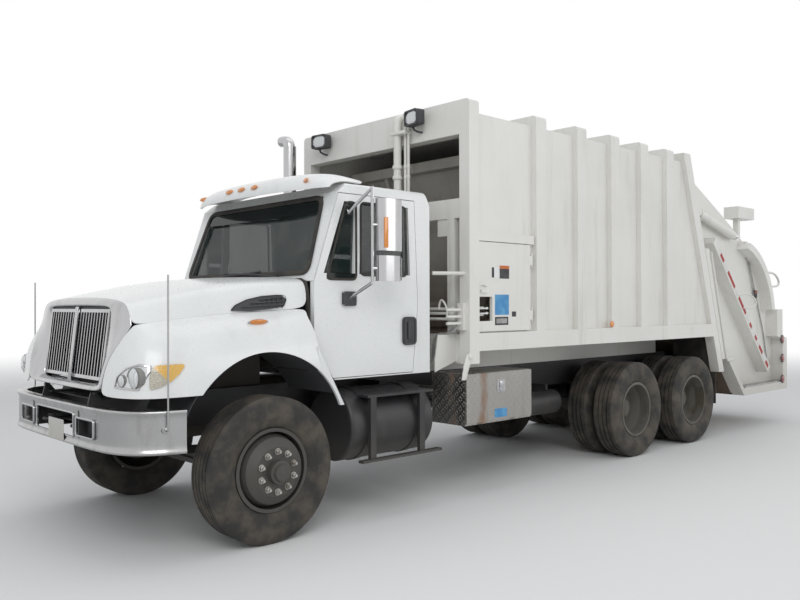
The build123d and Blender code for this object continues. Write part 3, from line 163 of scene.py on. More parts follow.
cabPaint = {
    "paint": (0.80, 0.81, 0.80), "paintWorn": (0.74, 0.75, 0.74), "dirtColour": (0.33, 0.30, 0.25),
    "dirtTop": 0.9, "dirt": 0.25, "streaks": 0.10, "rust": 0.0, "rough": 0.24, "coat": 0.35, "bump": 0.0003,
}
bodyPaint = {
    "paint": (0.76, 0.75, 0.71), "paintWorn": (0.70, 0.69, 0.65), "dirtColour": (0.34, 0.31, 0.26),
    "dirtTop": 1.3, "dirt": 0.35, "streaks": 0.22, "rust": 0.55, "rough": 0.36, "coat": 0.1,
}
packerPaint = {
    "paint": (0.62, 0.60, 0.55), "paintWorn": (0.46, 0.42, 0.37), "dirtColour": (0.22, 0.15, 0.1),
    "dirtTop": 2.2, "dirt": 0.6, "streaks": 0.6, "rust": 1.0, "rough": 0.55, "spotScale": 12,
}
blackPaint = {
    "paint": (0.022, 0.022, 0.024), "paintWorn": (0.04, 0.038, 0.036), "dirtColour": (0.13, 0.115, 0.095),
    "dirtTop": 0.8, "dirt": 0.55, "streaks": 0.25, "rust": 0.25, "rough": 0.42, "rustColour": (0.12, 0.06, 0.03),
}
rimBlack = dict(blackPaint, dirtTop=1.3, dirt=0.35)
rimGrey = {
    "paint": (0.25, 0.25, 0.24), "paintWorn": (0.16, 0.155, 0.145), "dirtColour": (0.09, 0.078, 0.06),
    "dirtTop": 1.3, "dirt": 0.75, "streaks": 0.4, "rust": 0.5, "rough": 0.6, "spotScale": 40,
}
ironPaint = {
    "paint": (0.09, 0.088, 0.082), "paintWorn": (0.06, 0.055, 0.05), "dirtColour": (0.1, 0.08, 0.06),
    "dirtTop": 1.5, "dirt": 0.6, "streaks": 0.3, "rust": 0.6, "rough": 0.6,
}
wornSteel = {
    "paint": (0.17, 0.135, 0.105), "paintWorn": (0.28, 0.25, 0.22), "dirtColour": (0.1, 0.055, 0.03),
    "dirtTop": 2.6, "dirt": 0.5, "streaks": 0.5, "rust": 1.0, "rough": 0.5, "metal": 0.35, "spotScale": 14,
}
dashPlastic = {
    "paint": (0.05, 0.05, 0.055), "paintWorn": (0.07, 0.07, 0.072), "dirtColour": (0.1, 0.09, 0.08),
    "dirtTop": 1.0, "dirt": 0.2, "streaks": 0.05, "rust": 0.0, "rough": 0.6,
}


def rubber(name, look):
    # Tyre rubber: brown dust in patches, and paler specks
    f = Finish(name)
    patch = f.noise(6, detail=6)
    fine = f.noise(120, detail=4)
    dust = f.fade(patch, 0.36, 0.68) * look["dust"]
    colour = f.mix(dust, look["dark"], look["dustColour"])
    colour = f.mix(f.fade(fine, 0.5, 0.8) * 0.25, colour, (0.12, 0.105, 0.085))
    rough = 0.68 + fine * 0.2
    return f.finish(Base_Color=colour, Roughness=rough, Normal=f.bump(fine, 0.0012, 0.4))


tyreRubber = {"dark": (0.024, 0.023, 0.022), "dust": 0.75, "dustColour": (0.105, 0.088, 0.068)}
flapRubber = {"dark": (0.02, 0.02, 0.02), "dust": 0.5, "dustColour": (0.09, 0.078, 0.06)}


def brightMetal(name, look):
    # Chrome or polished sheet with faint smears
    f = Finish(name)
    smear = f.noise(9, stretch=(1, 1, 0.3), detail=6)
    pits = f.fade(f.noise(90, detail=5), 0.62, 0.75)
    colour = f.mix(f.fade(smear, 0.45, 0.8) * look["tarnish"], look["metal"], look["dull"])
    rough = look["rough"] + smear * look["smear"] + pits * 0.15
    return f.finish(Base_Color=colour, Metallic=1.0, Roughness=rough, Normal=f.bump(smear, 0.002, 0.06))


chromeLook = {"metal": (0.50, 0.50, 0.51), "dull": (0.34, 0.34, 0.33), "tarnish": 0.6, "rough": 0.10, "smear": 0.16}
bumperLook = {"metal": (0.42, 0.42, 0.42), "dull": (0.27, 0.26, 0.25), "tarnish": 0.7, "rough": 0.13, "smear": 0.25}
rodLook = {"metal": (0.72, 0.72, 0.73), "dull": (0.5, 0.48, 0.45), "tarnish": 0.3, "rough": 0.1, "smear": 0.1}


def treadPlate(name, look):
    # Aluminium plate with raised lozenges set at right angles, and runs of rust
    f = Finish(name)
    x, z = f.axis("X") + f.axis("Y"), f.axis("Z")
    pitch = look["pitch"]
    bars = None
    for turn in (1, -1):
        u = (x + z * turn) * (0.7071 / pitch)
        v = (z - x * turn) * (0.7071 / pitch) + (0.25 if turn > 0 else 0.75)
        across = f.add("ShaderNodeMath", {"operation": "PINGPONG"}, {0: u * 1.0, 1: 0.5})
        along = f.add("ShaderNodeMath", {"operation": "PINGPONG"}, {0: v * 0.5, 1: 0.5})
        bar = f.fade(across, 0.12, 0.04) * f.fade(along, 0.2, 0.28)
        bars = bar if bars is None else f.add("ShaderNodeMath", {"operation": "MAXIMUM"}, {0: bars, 1: bar})
    smear = f.noise(5, stretch=(1, 1, 0.25), detail=6)
    rust = f.fade(smear + f.noise(2.2, detail=2) * 0.4, 0.74, 0.92) * look["rust"]
    colour = f.mix(smear, look["metal"], look["dull"])
    colour = f.mix(rust, colour, (0.24, 0.12, 0.06))
    rough = 0.26 + smear * 0.2 + rust * 0.3 - bars * 0.08
    return f.finish(Base_Color=colour, Metallic=1.0 - rust * 0.7, Roughness=rough,
                    Normal=f.bump(bars, 0.0035, 0.9))


plateLook = {"metal": (0.46, 0.45, 0.43), "dull": (0.27, 0.255, 0.235), "pitch": 0.03, "rust": 0.75}


def windowGlass(name, look):
    f = Finish(name)
    haze = f.fade(f.noise(3, detail=5), 0.4, 0.8)
    f.material.surface_render_method = "BLENDED"
    colour = f.mix(haze, look["tint"], look["dusty"])
    return f.finish(Base_Color=colour, Roughness=0.02 + haze * 0.05, Alpha=look["solid"] + haze * 0.08)


cabGlass = {"tint": (0.02, 0.035, 0.032), "dusty": (0.07, 0.075, 0.07), "solid": 0.5}


def lampLens(name, look):
    # Moulded lens: fluted inside, tinted
    f = Finish(name)
    flutes = f.add("ShaderNodeTexWave", {"wave_type": "BANDS", "bands_direction": "Y"},
                   {"Vector": f.place, "Scale": look["flutes"], "Distortion": 0.0})
    colour = f.mix(flutes.out("Fac") * 0.5, look["colour"], look["deep"])
    return f.finish(Base_Color=colour, Roughness=0.08 + flutes.out("Fac") * 0.1, Coat_Weight=1.0,
                    Normal=f.bump(flutes.out("Fac"), 0.002, 0.3))


headLens = {"colour": (0.72, 0.74, 0.74), "deep": (0.4, 0.42, 0.43), "flutes": 12}
amberLens = {"colour": (0.75, 0.25, 0.02), "deep": (0.45, 0.11, 0.01), "flutes": 60}
redLens = {"colour": (0.27, 0.012, 0.01), "deep": (0.12, 0.006, 0.006), "flutes": 60}


def seatCloth(name, look):
    # Plain weave, lighter in worn patches that are partly a painted sheen
    f = Finish(name)
    weave = []
    for direction in ("Y", "Z"):
        weave.append(f.add("ShaderNodeTexWave", {"wave_type": "BANDS", "bands_direction": direction},
                           {"Vector": f.place, "Scale": look["threads"], "Distortion": 0.6}).out("Fac"))
    threads = weave[0] * weave[1]
    wear_and_sheen = f.noise(4, detail=4)
    colour = f.mix(threads, look["dark"], look["light"])
    # lighter patches: wear, partly a painted sheen
    colour = f.mix(f.fade(wear_and_sheen, 0.5, 0.8) * 0.3, colour, (0.2, 0.19, 0.18))
    return f.finish(Base_Color=colour, Roughness=0.85 + wear_and_sheen * 0.1, Normal=f.bump(threads, 0.0008, 0.5))


clothLook = {"dark": (0.05, 0.052, 0.06), "light": (0.16, 0.165, 0.18), "threads": 160}

finishes = {
    "tyre": rubber("tyreRubber", tyreRubber),
    "rim_black": sheetPaint("rimBlack", rimBlack),
    "rim_grey": sheetPaint("rimGrey", rimGrey),
    "chassis_black": sheetPaint("chassisBlack", blackPaint),
    "engine_iron": sheetPaint("engineIron", ironPaint),
    "cab_white": sheetPaint("cabWhite", cabPaint),
    "glass": windowGlass("windowGlass", cabGlass),
    "seat_cloth": seatCloth("seatCloth", clothLook),
    "dash_plastic": sheetPaint("dashPlastic", dashPlastic),
    "lamp_lens": lampLens("lampLens", headLens),
    "chrome": brightMetal("chrome", chromeLook),
    "bumper_metal": brightMetal("bumperMetal", bumperLook),
    "tread_plate": treadPlate("treadPlate", plateLook),
    "flap_rubber": rubber("flapRubber", flapRubber),
    "body_white": sheetPaint("bodyWhite", bodyPaint),
    "worn_steel": sheetPaint("wornSteel", wornSteel),
    "packer_white": sheetPaint("packerWhite", packerPaint),
    "rod_chrome": brightMetal("rodChrome", rodLook),
}
slotOf = {part["node"]: part["material_slot"] for part in frame["record"]["subparts"]}
for nodeName, cadObject in nodes.items():
    for slotIndex in range(len(cadObject.material_slots)):
        cadObject.material_slots[slotIndex].material = finishes[slotOf[nodeName]]
print("finishes on the frame")

# Ways of working that every piece shares

frontAxleX = 3.905


def behind(distance):
    return frontAxleX - distance


def clearPick():
    bpy.ops.object.select_all(action="DESELECT")


def pick(piece):
    clearPick()
    piece.select_set(True)
    bpy.context.view_layer.objects.active = piece


def settle(piece):
    pick(piece)
    bpy.ops.object.transform_apply(location=True, rotation=True, scale=True)
    return piece


def addBlock(low, high):
    clearPick()
    bpy.ops.mesh.primitive_cube_add(size=1, location=[(a + b) / 2 for a, b in zip(low, high)])
    piece = bpy.context.object
    piece.scale = [abs(b - a) for a, b in zip(low, high)]
    return settle(piece)


def addRound(start, end, radius, sides=24, endRadius=None):
    clearPick()
    line = Vector(end) - Vector(start)
    bpy.ops.mesh.primitive_cone_add(
        vertices=sides, radius1=radius, radius2=radius if endRadius is None else endRadius, depth=line.length,
        location=(Vector(start) + Vector(end)) / 2, rotation=line.to_track_quat("Z", "Y").to_euler())
    return settle(bpy.context.object)


def addFace(corners):
    # One flat face through the corners, to be extruded or inset
    clearPick()
    bpy.ops.mesh.primitive_circle_add(vertices=len(corners), radius=1, fill_type="NGON")
    piece = settle(bpy.context.object)
    for vertex, corner in zip(piece.data.vertices, corners):
        vertex.co = corner
    return piece


def editMesh(piece, kind="FACE"):
    pick(piece)
    bpy.ops.object.mode_set(mode="EDIT")
    bpy.ops.mesh.select_mode(type=kind)
    bpy.ops.mesh.select_all(action="SELECT")


def closeMesh():
    bpy.ops.object.mode_set(mode="OBJECT")


def pushOut(piece, move):
    # Extrudes the whole face into a plate
    editMesh(piece)
    bpy.ops.mesh.extrude_region_move(TRANSFORM_OT_translate={"value": move})
    bpy.ops.mesh.select_all(action="SELECT")
    bpy.ops.mesh.normals_make_consistent(inside=False)
    closeMesh()
    return piece


def addBand(corners, width, move):
    # Flat frame of one width inside the corners, extruded by move
    piece = addFace(corners)
    editMesh(piece)
    bpy.ops.mesh.inset(thickness=width)
    bpy.ops.mesh.delete(type="FACE")
    bpy.ops.mesh.select_all(action="SELECT")
    bpy.ops.mesh.extrude_region_move(TRANSFORM_OT_translate={"value": move})
    bpy.ops.mesh.select_all(action="SELECT")
    bpy.ops.mesh.normals_make_consistent(inside=False)
    closeMesh()
    return piece


def soften(piece, width, segments=2, angle=30):
    pick(piece)
    edge = piece.modifiers.new("edge", "BEVEL")
    edge.width, edge.segments = width, segments
    edge.limit_method, edge.angle_limit = "ANGLE", math.radians(angle)
    bpy.ops.object.modifier_apply(modifier="edge")
    return piece


def joined(pieces):
    clearPick()
    for piece in pieces:
        piece.select_set(True)
    bpy.context.view_layer.objects.active = pieces[0]
    if len(pieces) > 1:
        bpy.ops.object.join()
    return pieces[0]


def copyOf(piece, move=(0, 0, 0)):
    pick(piece)
    bpy.ops.object.duplicate()
    copy = bpy.context.object
    if any(move):
        bpy.ops.transform.translate(value=move)
        settle(copy)
    return copy


def mirrored(piece):
    # The same piece on the truck's other side, normals put right again
    copy = copyOf(piece)
    copy.scale = (1, -1, 1)
    settle(copy)
    editMesh(copy)
    bpy.ops.mesh.normals_make_consistent(inside=False)
    closeMesh()
    return copy


def ringOf(piece, count, centre):
    # Copies round a wheel's centre
    copies = [piece]
    for index in range(1, count):
        copy = copyOf(piece)
        pick(copy)
        bpy.ops.transform.rotate(value=math.tau * index / count, orient_axis="Y", center_override=centre)
        settle(copy)
        copies.append(copy)
    return joined(copies)


def handOver(piece, name, finish, body, smooth=35):
    piece.name = name
    piece.data.name = name
    piece.data.materials.clear()
    piece.data.materials.append(finish)
    pick(piece)
    bpy.ops.object.shade_smooth_by_angle(angle=math.radians(smooth))
    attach(piece, body)
    return piece


# Wheels: nuts and ribbed tyres

wheelDetail = {
    "nutCount": 10, "nutRing": 0.1429, "nutRadius": 0.0195, "nutHeight": 0.024, "studRadius": 0.0105,
    "studReach": 0.016, "sides": 96, "radius": 0.5265, "beadRadius": 0.305, "halfTread": 0.110, "belly": 0.1395,
}
wheelPlaces = {
    "front": ("wheel_front", 0, (1.048,), 1.2165),
    "forward": ("wheels_forward", 4.852, (1.074, 0.738), 0.9175),
    "rearward": ("wheels_rearward", 6.172, (1.074, 0.738), 0.9175),
}
axleHeight = 0.527


def makeNuts(x, seatY):
    w = wheelDetail
    top = axleHeight + w["nutRing"]
    nut = addRound((x, seatY, top), (x, seatY + w["nutHeight"], top), w["nutRadius"], sides=6)
    soften(nut, 0.002, segments=1)
    washer = addRound((x, seatY - 0.001, top), (x, seatY + 0.004, top), w["nutRadius"] * 1.25, sides=16)
    stud = addRound((x, seatY, top), (x, seatY + w["nutHeight"] + w["studReach"], top), w["studRadius"], sides=10)
    return ringOf(joined([nut, washer, stud]), w["nutCount"], (x, seatY, axleHeight))


def tyreProfile(kind):
    # (distance from the wheel's middle, radius) from bead to bead
    w = wheelDetail
    wall = [
        (0.100, w["beadRadius"]), (0.114, 0.318), (0.127, 0.345), (0.1345, 0.372), (0.1365, 0.374),
        (0.1385, 0.392), (w["belly"], 0.415), (0.138, 0.440), (0.1365, 0.442), (0.133, 0.466), (0.128, 0.486),
        (0.1235, 0.500), (0.117, 0.514),
    ]
    grooves = (0.0, 0.044, 0.082) if kind == "front" else (0.0, 0.052)
    depth, half = (0.013, 0.005) if kind == "front" else (0.016, 0.0055)
    crown = []
    for place in sorted(grooves, reverse=True):
        crown += [(place + half + 0.002, w["radius"]), (place + half, w["radius"] - depth)]
        if place:
            crown += [(place - half, w["radius"] - depth), (place - half - 0.002, w["radius"])]
    edge = [(w["halfTread"] - 0.004, w["radius"] - 0.001)]
    half = wall + edge + crown
    return half + [(-y, r) for y, r in reversed(half)]


def makeTyre(x, y, kind):
    w = wheelDetail
    profile = tyreProfile(kind)
    clearPick()
    bpy.ops.mesh.primitive_circle_add(vertices=len(profile), radius=1, fill_type="NOTHING")
    tyre = settle(bpy.context.object)
    for vertex, (across, radius) in zip(tyre.data.vertices, profile):
        vertex.co = (x, y + across, axleHeight + radius)
    editMesh(tyre, "EDGE")
    bpy.ops.mesh.spin(steps=w["sides"], angle=math.tau, center=(x, y, axleHeight), axis=(0, 1, 0))
    bpy.ops.mesh.select_all(action="SELECT")
    bpy.ops.mesh.remove_doubles(threshold=0.0002)
    bpy.ops.mesh.normals_make_consistent(inside=False)
    closeMesh()
    cutTread(tyre, x, y, kind)
    return tyre


def cutTread(tyre, x, y, kind):
    # Pulls every third or fourth block of the outer ribs down into a slot across the tread
    w = wheelDetail
    step = math.tau / w["sides"]
    every, inner = (2, 0.088) if kind == "front" else (3, 0.052)
    depth = -0.004 if kind == "front" else -0.014
    for face in tyre.data.polygons:
        across = abs(face.center.y - y)
        angle = math.atan2(face.center.z - axleHeight, face.center.x - x)
        index = int(round(angle / step - 0.5 + (1 if face.center.y > y else 0)))
        radius = math.hypot(face.center.z - axleHeight, face.center.x - x)
        outward = face.normal.dot(Vector((face.center.x - x, 0, face.center.z - axleHeight)).normalized())
        face.select = index % every == 0 and inner < across < 0.121 and radius > 0.505 and outward > 0.3
    pick(tyre)
    bpy.ops.object.mode_set(mode="EDIT")
    bpy.ops.mesh.select_mode(type="FACE")
    bpy.ops.mesh.extrude_region_shrink_fatten(TRANSFORM_OT_shrink_fatten={"value": depth})
    closeMesh()


def makeWheels():
    for station, (bodyStart, distance, middles, seatY) in wheelPlaces.items():
        x = behind(distance)
        nuts = makeNuts(x, seatY)
        kind = "front" if station == "front" else "drive"
        tyres = joined([makeTyre(x, y, kind) for y in middles])
        otherNuts, otherTyres = mirrored(nuts), mirrored(tyres)
        nodeStart = "tyre_front" if station == "front" else "tyres_" + station
        for side, nutPiece, tyrePiece in (("left", nuts, tyres), ("right", otherNuts, otherTyres)):
            body = bodyStart + "_" + side
            nutFinish = finishes["nut_steel"]
            handOver(nutPiece, "nuts_" + station + "_" + side, nutFinish, body)
            handOver(tyrePiece, "treaded_" + station + "_" + side, finishes["tyre"], body, smooth=28)
            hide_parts(nodeStart + "_" + side)


finishes["nut_steel"] = brightMetal("nutSteel", {"metal": (0.5, 0.49, 0.47), "dull": (0.2, 0.16, 0.12),
                                                 "tarnish": 0.9, "rough": 0.32, "smear": 0.25})
makeWheels()
print("wheels dressed")

def addSheet(rows, rounds=2):
    # Smooth sheet over a table of points, one row after the other along the truck
    clearPick()
    columns = len(rows[0])
    bpy.ops.mesh.primitive_grid_add(x_subdivisions=columns - 1, y_subdivisions=len(rows) - 1, size=1)
    sheet = settle(bpy.context.object)
    for vertex, point in zip(sheet.data.vertices, [point for row in rows for point in row]):
        vertex.co = point
    smooth = sheet.modifiers.new("smooth", "SUBSURF")
    smooth.levels = smooth.render_levels = rounds
    bpy.ops.object.modifier_apply(modifier="smooth")
    return sheet


def thicken(piece, thickness, offset=-1):
    pick(piece)
    wall = piece.modifiers.new("wall", "SOLIDIFY")
    wall.thickness, wall.offset = thickness, offset
    bpy.ops.object.modifier_apply(modifier="wall")
    return piece


def cutWith(piece, cutter, operation="DIFFERENCE"):
    pick(piece)
    cut = piece.modifiers.new("cut", "BOOLEAN")
    cut.object, cut.operation, cut.solver = cutter, operation, "EXACT"
    bpy.ops.object.modifier_apply(modifier="cut")
    bpy.data.objects.remove(cutter)
    return piece


def faceOut(piece, away):
    # Turns a single sheet's faces away from a point inside the truck
    middle = sum((face.normal.dot(face.center - Vector(away)) for face in piece.data.polygons), 0.0)
    if middle < 0:
        editMesh(piece)
        bpy.ops.mesh.flip_normals()
        closeMesh()
    return piece


def ahead(rows):
    # Tables below give x from the front axle, forward
    return [[(frontAxleX + u, y, z) for u, y, z in row] for row in rows]


# Hood: bonnet and fenders in one tilting shell, grille surround and lamps

hoodDetail = {
    "wall": 0.010, "archMiddle": (0.010, 0.684), "archRadius": 0.687, "seam": 0.003,
    "bonnet": [  # from the axle forward, then (y, z) from the middle out to the crease
        (0.9, (0, 1.768), (0.25, 1.766), (0.5, 1.756), (0.68, 1.738), (0.762, 1.705), (0.8, 1.64), (0.843, 1.578)),
        (0.76, (0, 1.803), (0.26, 1.8), (0.52, 1.788), (0.7, 1.768), (0.778, 1.733), (0.815, 1.665), (0.856, 1.592)),
        (0.55, (0, 1.849), (0.28, 1.846), (0.55, 1.832), (0.73, 1.807), (0.797, 1.77), (0.836, 1.695), (0.872, 1.616)),
        (0.3, (0, 1.895), (0.29, 1.892), (0.57, 1.878), (0.75, 1.851), (0.817, 1.812), (0.854, 1.73), (0.889, 1.642)),
        (0, (0, 1.93), (0.3, 1.927), (0.6, 1.914), (0.77, 1.888), (0.838, 1.85), (0.876, 1.762), (0.907, 1.662)),
        (-0.25, (0, 1.938), (0.3, 1.936), (0.64, 1.927), (0.82, 1.906), (0.888, 1.869), (0.914, 1.778), (0.936, 1.673)),
        (-0.44, (0, 1.942), (0.3, 1.94), (0.68, 1.933), (0.87, 1.914), (0.942, 1.88), (0.962, 1.79), (0.97, 1.684)),
    ],
    "fender": [  # whole points, from the grille's side round the nose and back
        [(0.897, 0.835, 1.573), (0.950, 0.800, 1.490), (0.985, 0.765, 1.420), (1.018, 0.730, 1.345),
         (1.040, 0.705, 1.250), (1.050, 0.695, 1.170), (1.055, 0.690, 1.105)],
        [(0.880, 0.848, 1.577), (0.935, 0.860, 1.508), (0.975, 0.865, 1.440), (1.008, 0.872, 1.360),
         (1.028, 0.880, 1.260), (1.038, 0.885, 1.170), (1.042, 0.885, 1.105)],
        [(0.840, 0.852, 1.584), (0.862, 0.928, 1.532), (0.900, 0.985, 1.458), (0.936, 1.020, 1.366),
         (0.965, 1.040, 1.260), (0.979, 1.048, 1.170), (0.984, 1.050, 1.105)],
        [(0.760, 0.858, 1.593), (0.770, 0.953, 1.549), (0.790, 1.030, 1.478), (0.812, 1.090, 1.374),
         (0.833, 1.120, 1.260), (0.845, 1.133, 1.170), (0.850, 1.134, 1.105)],
        [(0.600, 0.870, 1.611), (0.600, 0.968, 1.569), (0.600, 1.057, 1.502), (0.600, 1.128, 1.378),
         (0.600, 1.147, 1.260), (0.600, 1.149, 1.170), (0.600, 1.149, 1.105)],
        [(0.350, 0.886, 1.637), (0.350, 0.978, 1.596), (0.350, 1.066, 1.528), (0.350, 1.133, 1.379),
         (0.350, 1.149, 1.260), (0.350, 1.150, 1.170), (0.350, 1.150, 1.105)],
        [(0.050, 0.905, 1.659), (0.050, 0.988, 1.613), (0.050, 1.071, 1.542), (0.050, 1.134, 1.379),
         (0.050, 1.149, 1.260), (0.050, 1.150, 1.170), (0.050, 1.150, 1.105)],
        [(-0.240, 0.931, 1.670), (-0.240, 1.002, 1.620), (-0.240, 1.075, 1.545), (-0.240, 1.134, 1.376),
         (-0.240, 1.149, 1.260), (-0.240, 1.150, 1.170), (-0.240, 1.150, 1.105)],
        [(-0.440, 0.970, 1.683), (-0.395, 1.018, 1.628), (-0.425, 1.077, 1.545), (-0.435, 1.134, 1.370),
         (-0.435, 1.149, 1.260), (-0.435, 1.150, 1.170), (-0.435, 1.150, 1.105)],
    ],
    "tail": [(-0.692, 0.935), (-0.435, 1.398)], "tailTurns": (130, 158.5, 8), "tailInner": 1.118, "tailThick": 0.032,
    "doorRoom": (0.006, 0.022),  # how far the tail's rear edge gives way, inside and outside
}
linerDetail = {
    "inner": 0.52, "outer": 1.112, "radii": (0.695, 0.695, 0.700, 0.700), "start": 0.42, "turn": 2.2, "steps": 36,
}


def makeHood():
    h = hoodDetail
    rows = []
    for u, *half in h["bonnet"]:
        rows.append([(u, -y, z) for y, z in reversed(half[1:])] + [(u, y, z) for y, z in half])
    bonnet = thicken(faceOut(addSheet(ahead(rows)), (3.9, 0, 1.2)), h["wall"])
    u, z = h["archMiddle"]
    shells = [bonnet]
    for side in (1, -1):
        rows = [[(u0, side * (y0 + h["seam"]), z0) for u0, y0, z0 in row] for row in h["fender"]]
        fender = thicken(faceOut(addSheet(ahead(rows)), (3.9, 0, 1.2)), h["wall"])
        low, high = sorted((side * 0.95, side * 1.3))
        arch = addRound((frontAxleX + u, low, z), (frontAxleX + u, high, z), h["archRadius"], sides=96)
        shells.append(cutWith(fender, arch))
        shells.append(fenderTail(side))
    hood = joined(shells)
    handOver(hood, "hoodShell", finishes["cab_white"], "hood", smooth=40)
    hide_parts("hood")
    makeLiners()


def archPoints(first, last, count):
    (u, z), radius = hoodDetail["archMiddle"], hoodDetail["archRadius"]
    turns = [math.radians(first + (last - first) * index / (count - 1)) for index in range(count)]
    return [(u + radius * math.cos(turn), z + radius * math.sin(turn)) for turn in turns]


def fenderTail(side):
    # The fender's strip behind the arch, down to its pointed end
    h = hoodDetail
    tail = addFace([(frontAxleX + u, side * h["tailInner"], z) for u, z in archPoints(*h["tailTurns"]) + h["tail"]])
    pushOut(tail, (0, side * h["tailThick"], 0))
    rear = [frontAxleX + u for u, z in h["tail"]]
    for vertex in tail.data.vertices:
        if min(abs(vertex.co.x - x) for x in rear) < 0.001:  # leaves the opened door its room
            vertex.co.x += h["doorRoom"][abs(vertex.co.y) > h["tailInner"] + 0.01]
    return soften(tail, 0.008)


def makeLiners():
    # Black plastic inside the arches
    d = linerDetail
    u, z = hoodDetail["archMiddle"]
    for side, word in ((1, "left"), (-1, "right")):
        clearPick()
        bpy.ops.mesh.primitive_plane_add(size=1)
        liner = settle(bpy.context.object)
        across = [side * d["inner"], side * d["outer"]] * 2
        for vertex, y, radius in zip(liner.data.vertices, across, d["radii"]):
            vertex.co = (frontAxleX + u + radius * math.cos(d["start"]), y, z + radius * math.sin(d["start"]))
        editMesh(liner)
        bpy.ops.mesh.spin(steps=d["steps"], angle=d["turn"], center=(frontAxleX + u, 0, z), axis=(0, 1, 0))
        bpy.ops.mesh.select_all(action="SELECT")
        bpy.ops.mesh.remove_doubles(threshold=0.0003)
        bpy.ops.mesh.normals_make_consistent(inside=False)
        closeMesh()
        handOver(liner, "archLiner_" + word, finishes["dash_plastic"], "hood")


makeHood()
print("hood made")

# Ways of working in places behind the axle

def spot(distance, y, z):
    # Place given by the distance behind the front axle
    return (frontAxleX - distance, y, z)


def onSide(corners, y):
    # Outline given by distance behind the axle and height, set at one y
    return [spot(distance, y, z) for distance, z in corners]


def onFront(corners, distance):
    # Outline given by y and height, set square to the truck
    return [spot(distance, y, z) for y, z in corners]


def oblong(low, high):
    # Four corners from two opposite ones
    (a, b), (c, d) = low, high
    return [(a, b), (a, d), (c, d), (c, b)]


def rounded(corners, radius, steps=5):
    # The same outline with its corners taken round
    points = []
    corners = [Vector(corner) for corner in corners]
    for index, corner in enumerate(corners):
        before, after = corners[index - 1], corners[(index + 1) % len(corners)]
        start = corner + (before - corner).normalized() * radius
        end = corner + (after - corner).normalized() * radius
        for step in range(steps + 1):
            share = step / steps
            points.append(start * (1 - share) ** 2 + corner * 2 * share * (1 - share) + end * share ** 2)
    return points


def addPanel(corners, move, radius=0.0, edge=0.0):
    piece = pushOut(addFace(rounded(corners, radius) if radius else corners), move)
    return soften(piece, edge) if edge else piece


def softBlock(low, high, edge, segments=2):
    return soften(addBlock(spot(*low), spot(*high)), edge, segments)


def softRound(start, end, radius, edge, sides=24, segments=2):
    return soften(addRound(spot(*start), spot(*end), radius, sides), edge, segments)


def addPipe(places, radius, roundness=3):
    # Round pipe or hose through places given behind the axle
    points = [Vector(spot(*place)) for place in places]
    while len(points) < 5:
        points.insert(1, (points[0] + points[1]) / 2)
    clearPick()
    bpy.ops.curve.primitive_nurbs_path_add()
    pipe = bpy.context.object
    spline = pipe.data.splines[0]
    spline.points.add(len(points) - len(spline.points))
    for point, place in zip(spline.points, points):
        point.co = (*place, 1)
    spline.order_u, spline.use_endpoint_u, spline.resolution_u = 3, True, 6
    pipe.data.bevel_depth, pipe.data.bevel_resolution, pipe.data.use_fill_caps = radius, roundness, True
    pick(pipe)
    bpy.ops.object.convert(target="MESH")
    return settle(bpy.context.object)


def addLens(middle, size, turn=(0, 0, 0)):
    # Oval lens with a thin flange round its foot
    flange = [extent * (0.5 if extent == min(size) else 1.08) for extent in size]
    shapes = []
    for extents in (size, flange):
        clearPick()
        bpy.ops.mesh.primitive_uv_sphere_add(segments=28, ring_count=14, radius=1, location=middle, rotation=turn)
        shape = bpy.context.object
        shape.scale = extents
        shapes.append(settle(shape))
    return joined(shapes)


def bothSides(piece, name, finish, bodies, smooth=35):
    other = mirrored(piece)
    for half, word, body in ((piece, "left", bodies[0]), (other, "right", bodies[1])):
        handOver(half, name + "_" + word, finishes[finish], body, smooth)


cabDoors = ("door_left", "door_right")
bothTail = ("tailgate", "tailgate")
finishes["amber"] = lampLens("amberLens", amberLens)
finishes["red"] = lampLens("redLens", redLens)


# Bright shield round the grille

shieldDetail = {
    "wall": 0.004,
    "outer": [
        (0.902, 0, 1.772), (0.902, 0.25, 1.770), (0.902, 0.50, 1.759), (0.902, 0.68, 1.741), (0.900, 0.760, 1.709),
        (0.903, 0.802, 1.640), (0.908, 0.842, 1.572), (0.962, 0.806, 1.486), (0.998, 0.770, 1.412),
        (1.032, 0.734, 1.335), (1.052, 0.708, 1.240), (1.060, 0.697, 1.180), (1.060, 0.680, 1.140),
        (1.060, 0.560, 1.128), (1.060, 0.300, 1.126), (1.060, 0, 1.126),
    ],
    "inner": [
        (0.936, 0, 1.700), (0.936, 0.22, 1.700), (0.936, 0.42, 1.698), (0.937, 0.522, 1.694), (0.938, 0.556, 1.672),
        (0.944, 0.554, 1.600), (0.952, 0.551, 1.520), (0.961, 0.548, 1.440), (0.970, 0.545, 1.360),
        (0.980, 0.541, 1.280), (0.989, 0.537, 1.225), (0.994, 0.530, 1.190), (0.996, 0.500, 1.174),
        (0.997, 0.380, 1.171), (0.998, 0.200, 1.170), (0.998, 0, 1.170),
    ],
    "crown": 0.016, "skirt": 0.02, "reveal": 0.055,
    "screen": [(-0.56, 1.17), (0.56, 1.17), (0.57, 1.70), (-0.57, 1.70)], "screenPlace": -0.915,
    "divider": [(-0.925, 1.70), (-0.945, 1.70), (-1.006, 1.165), (-0.985, 1.165)], "dividerHalf": 0.024,
}


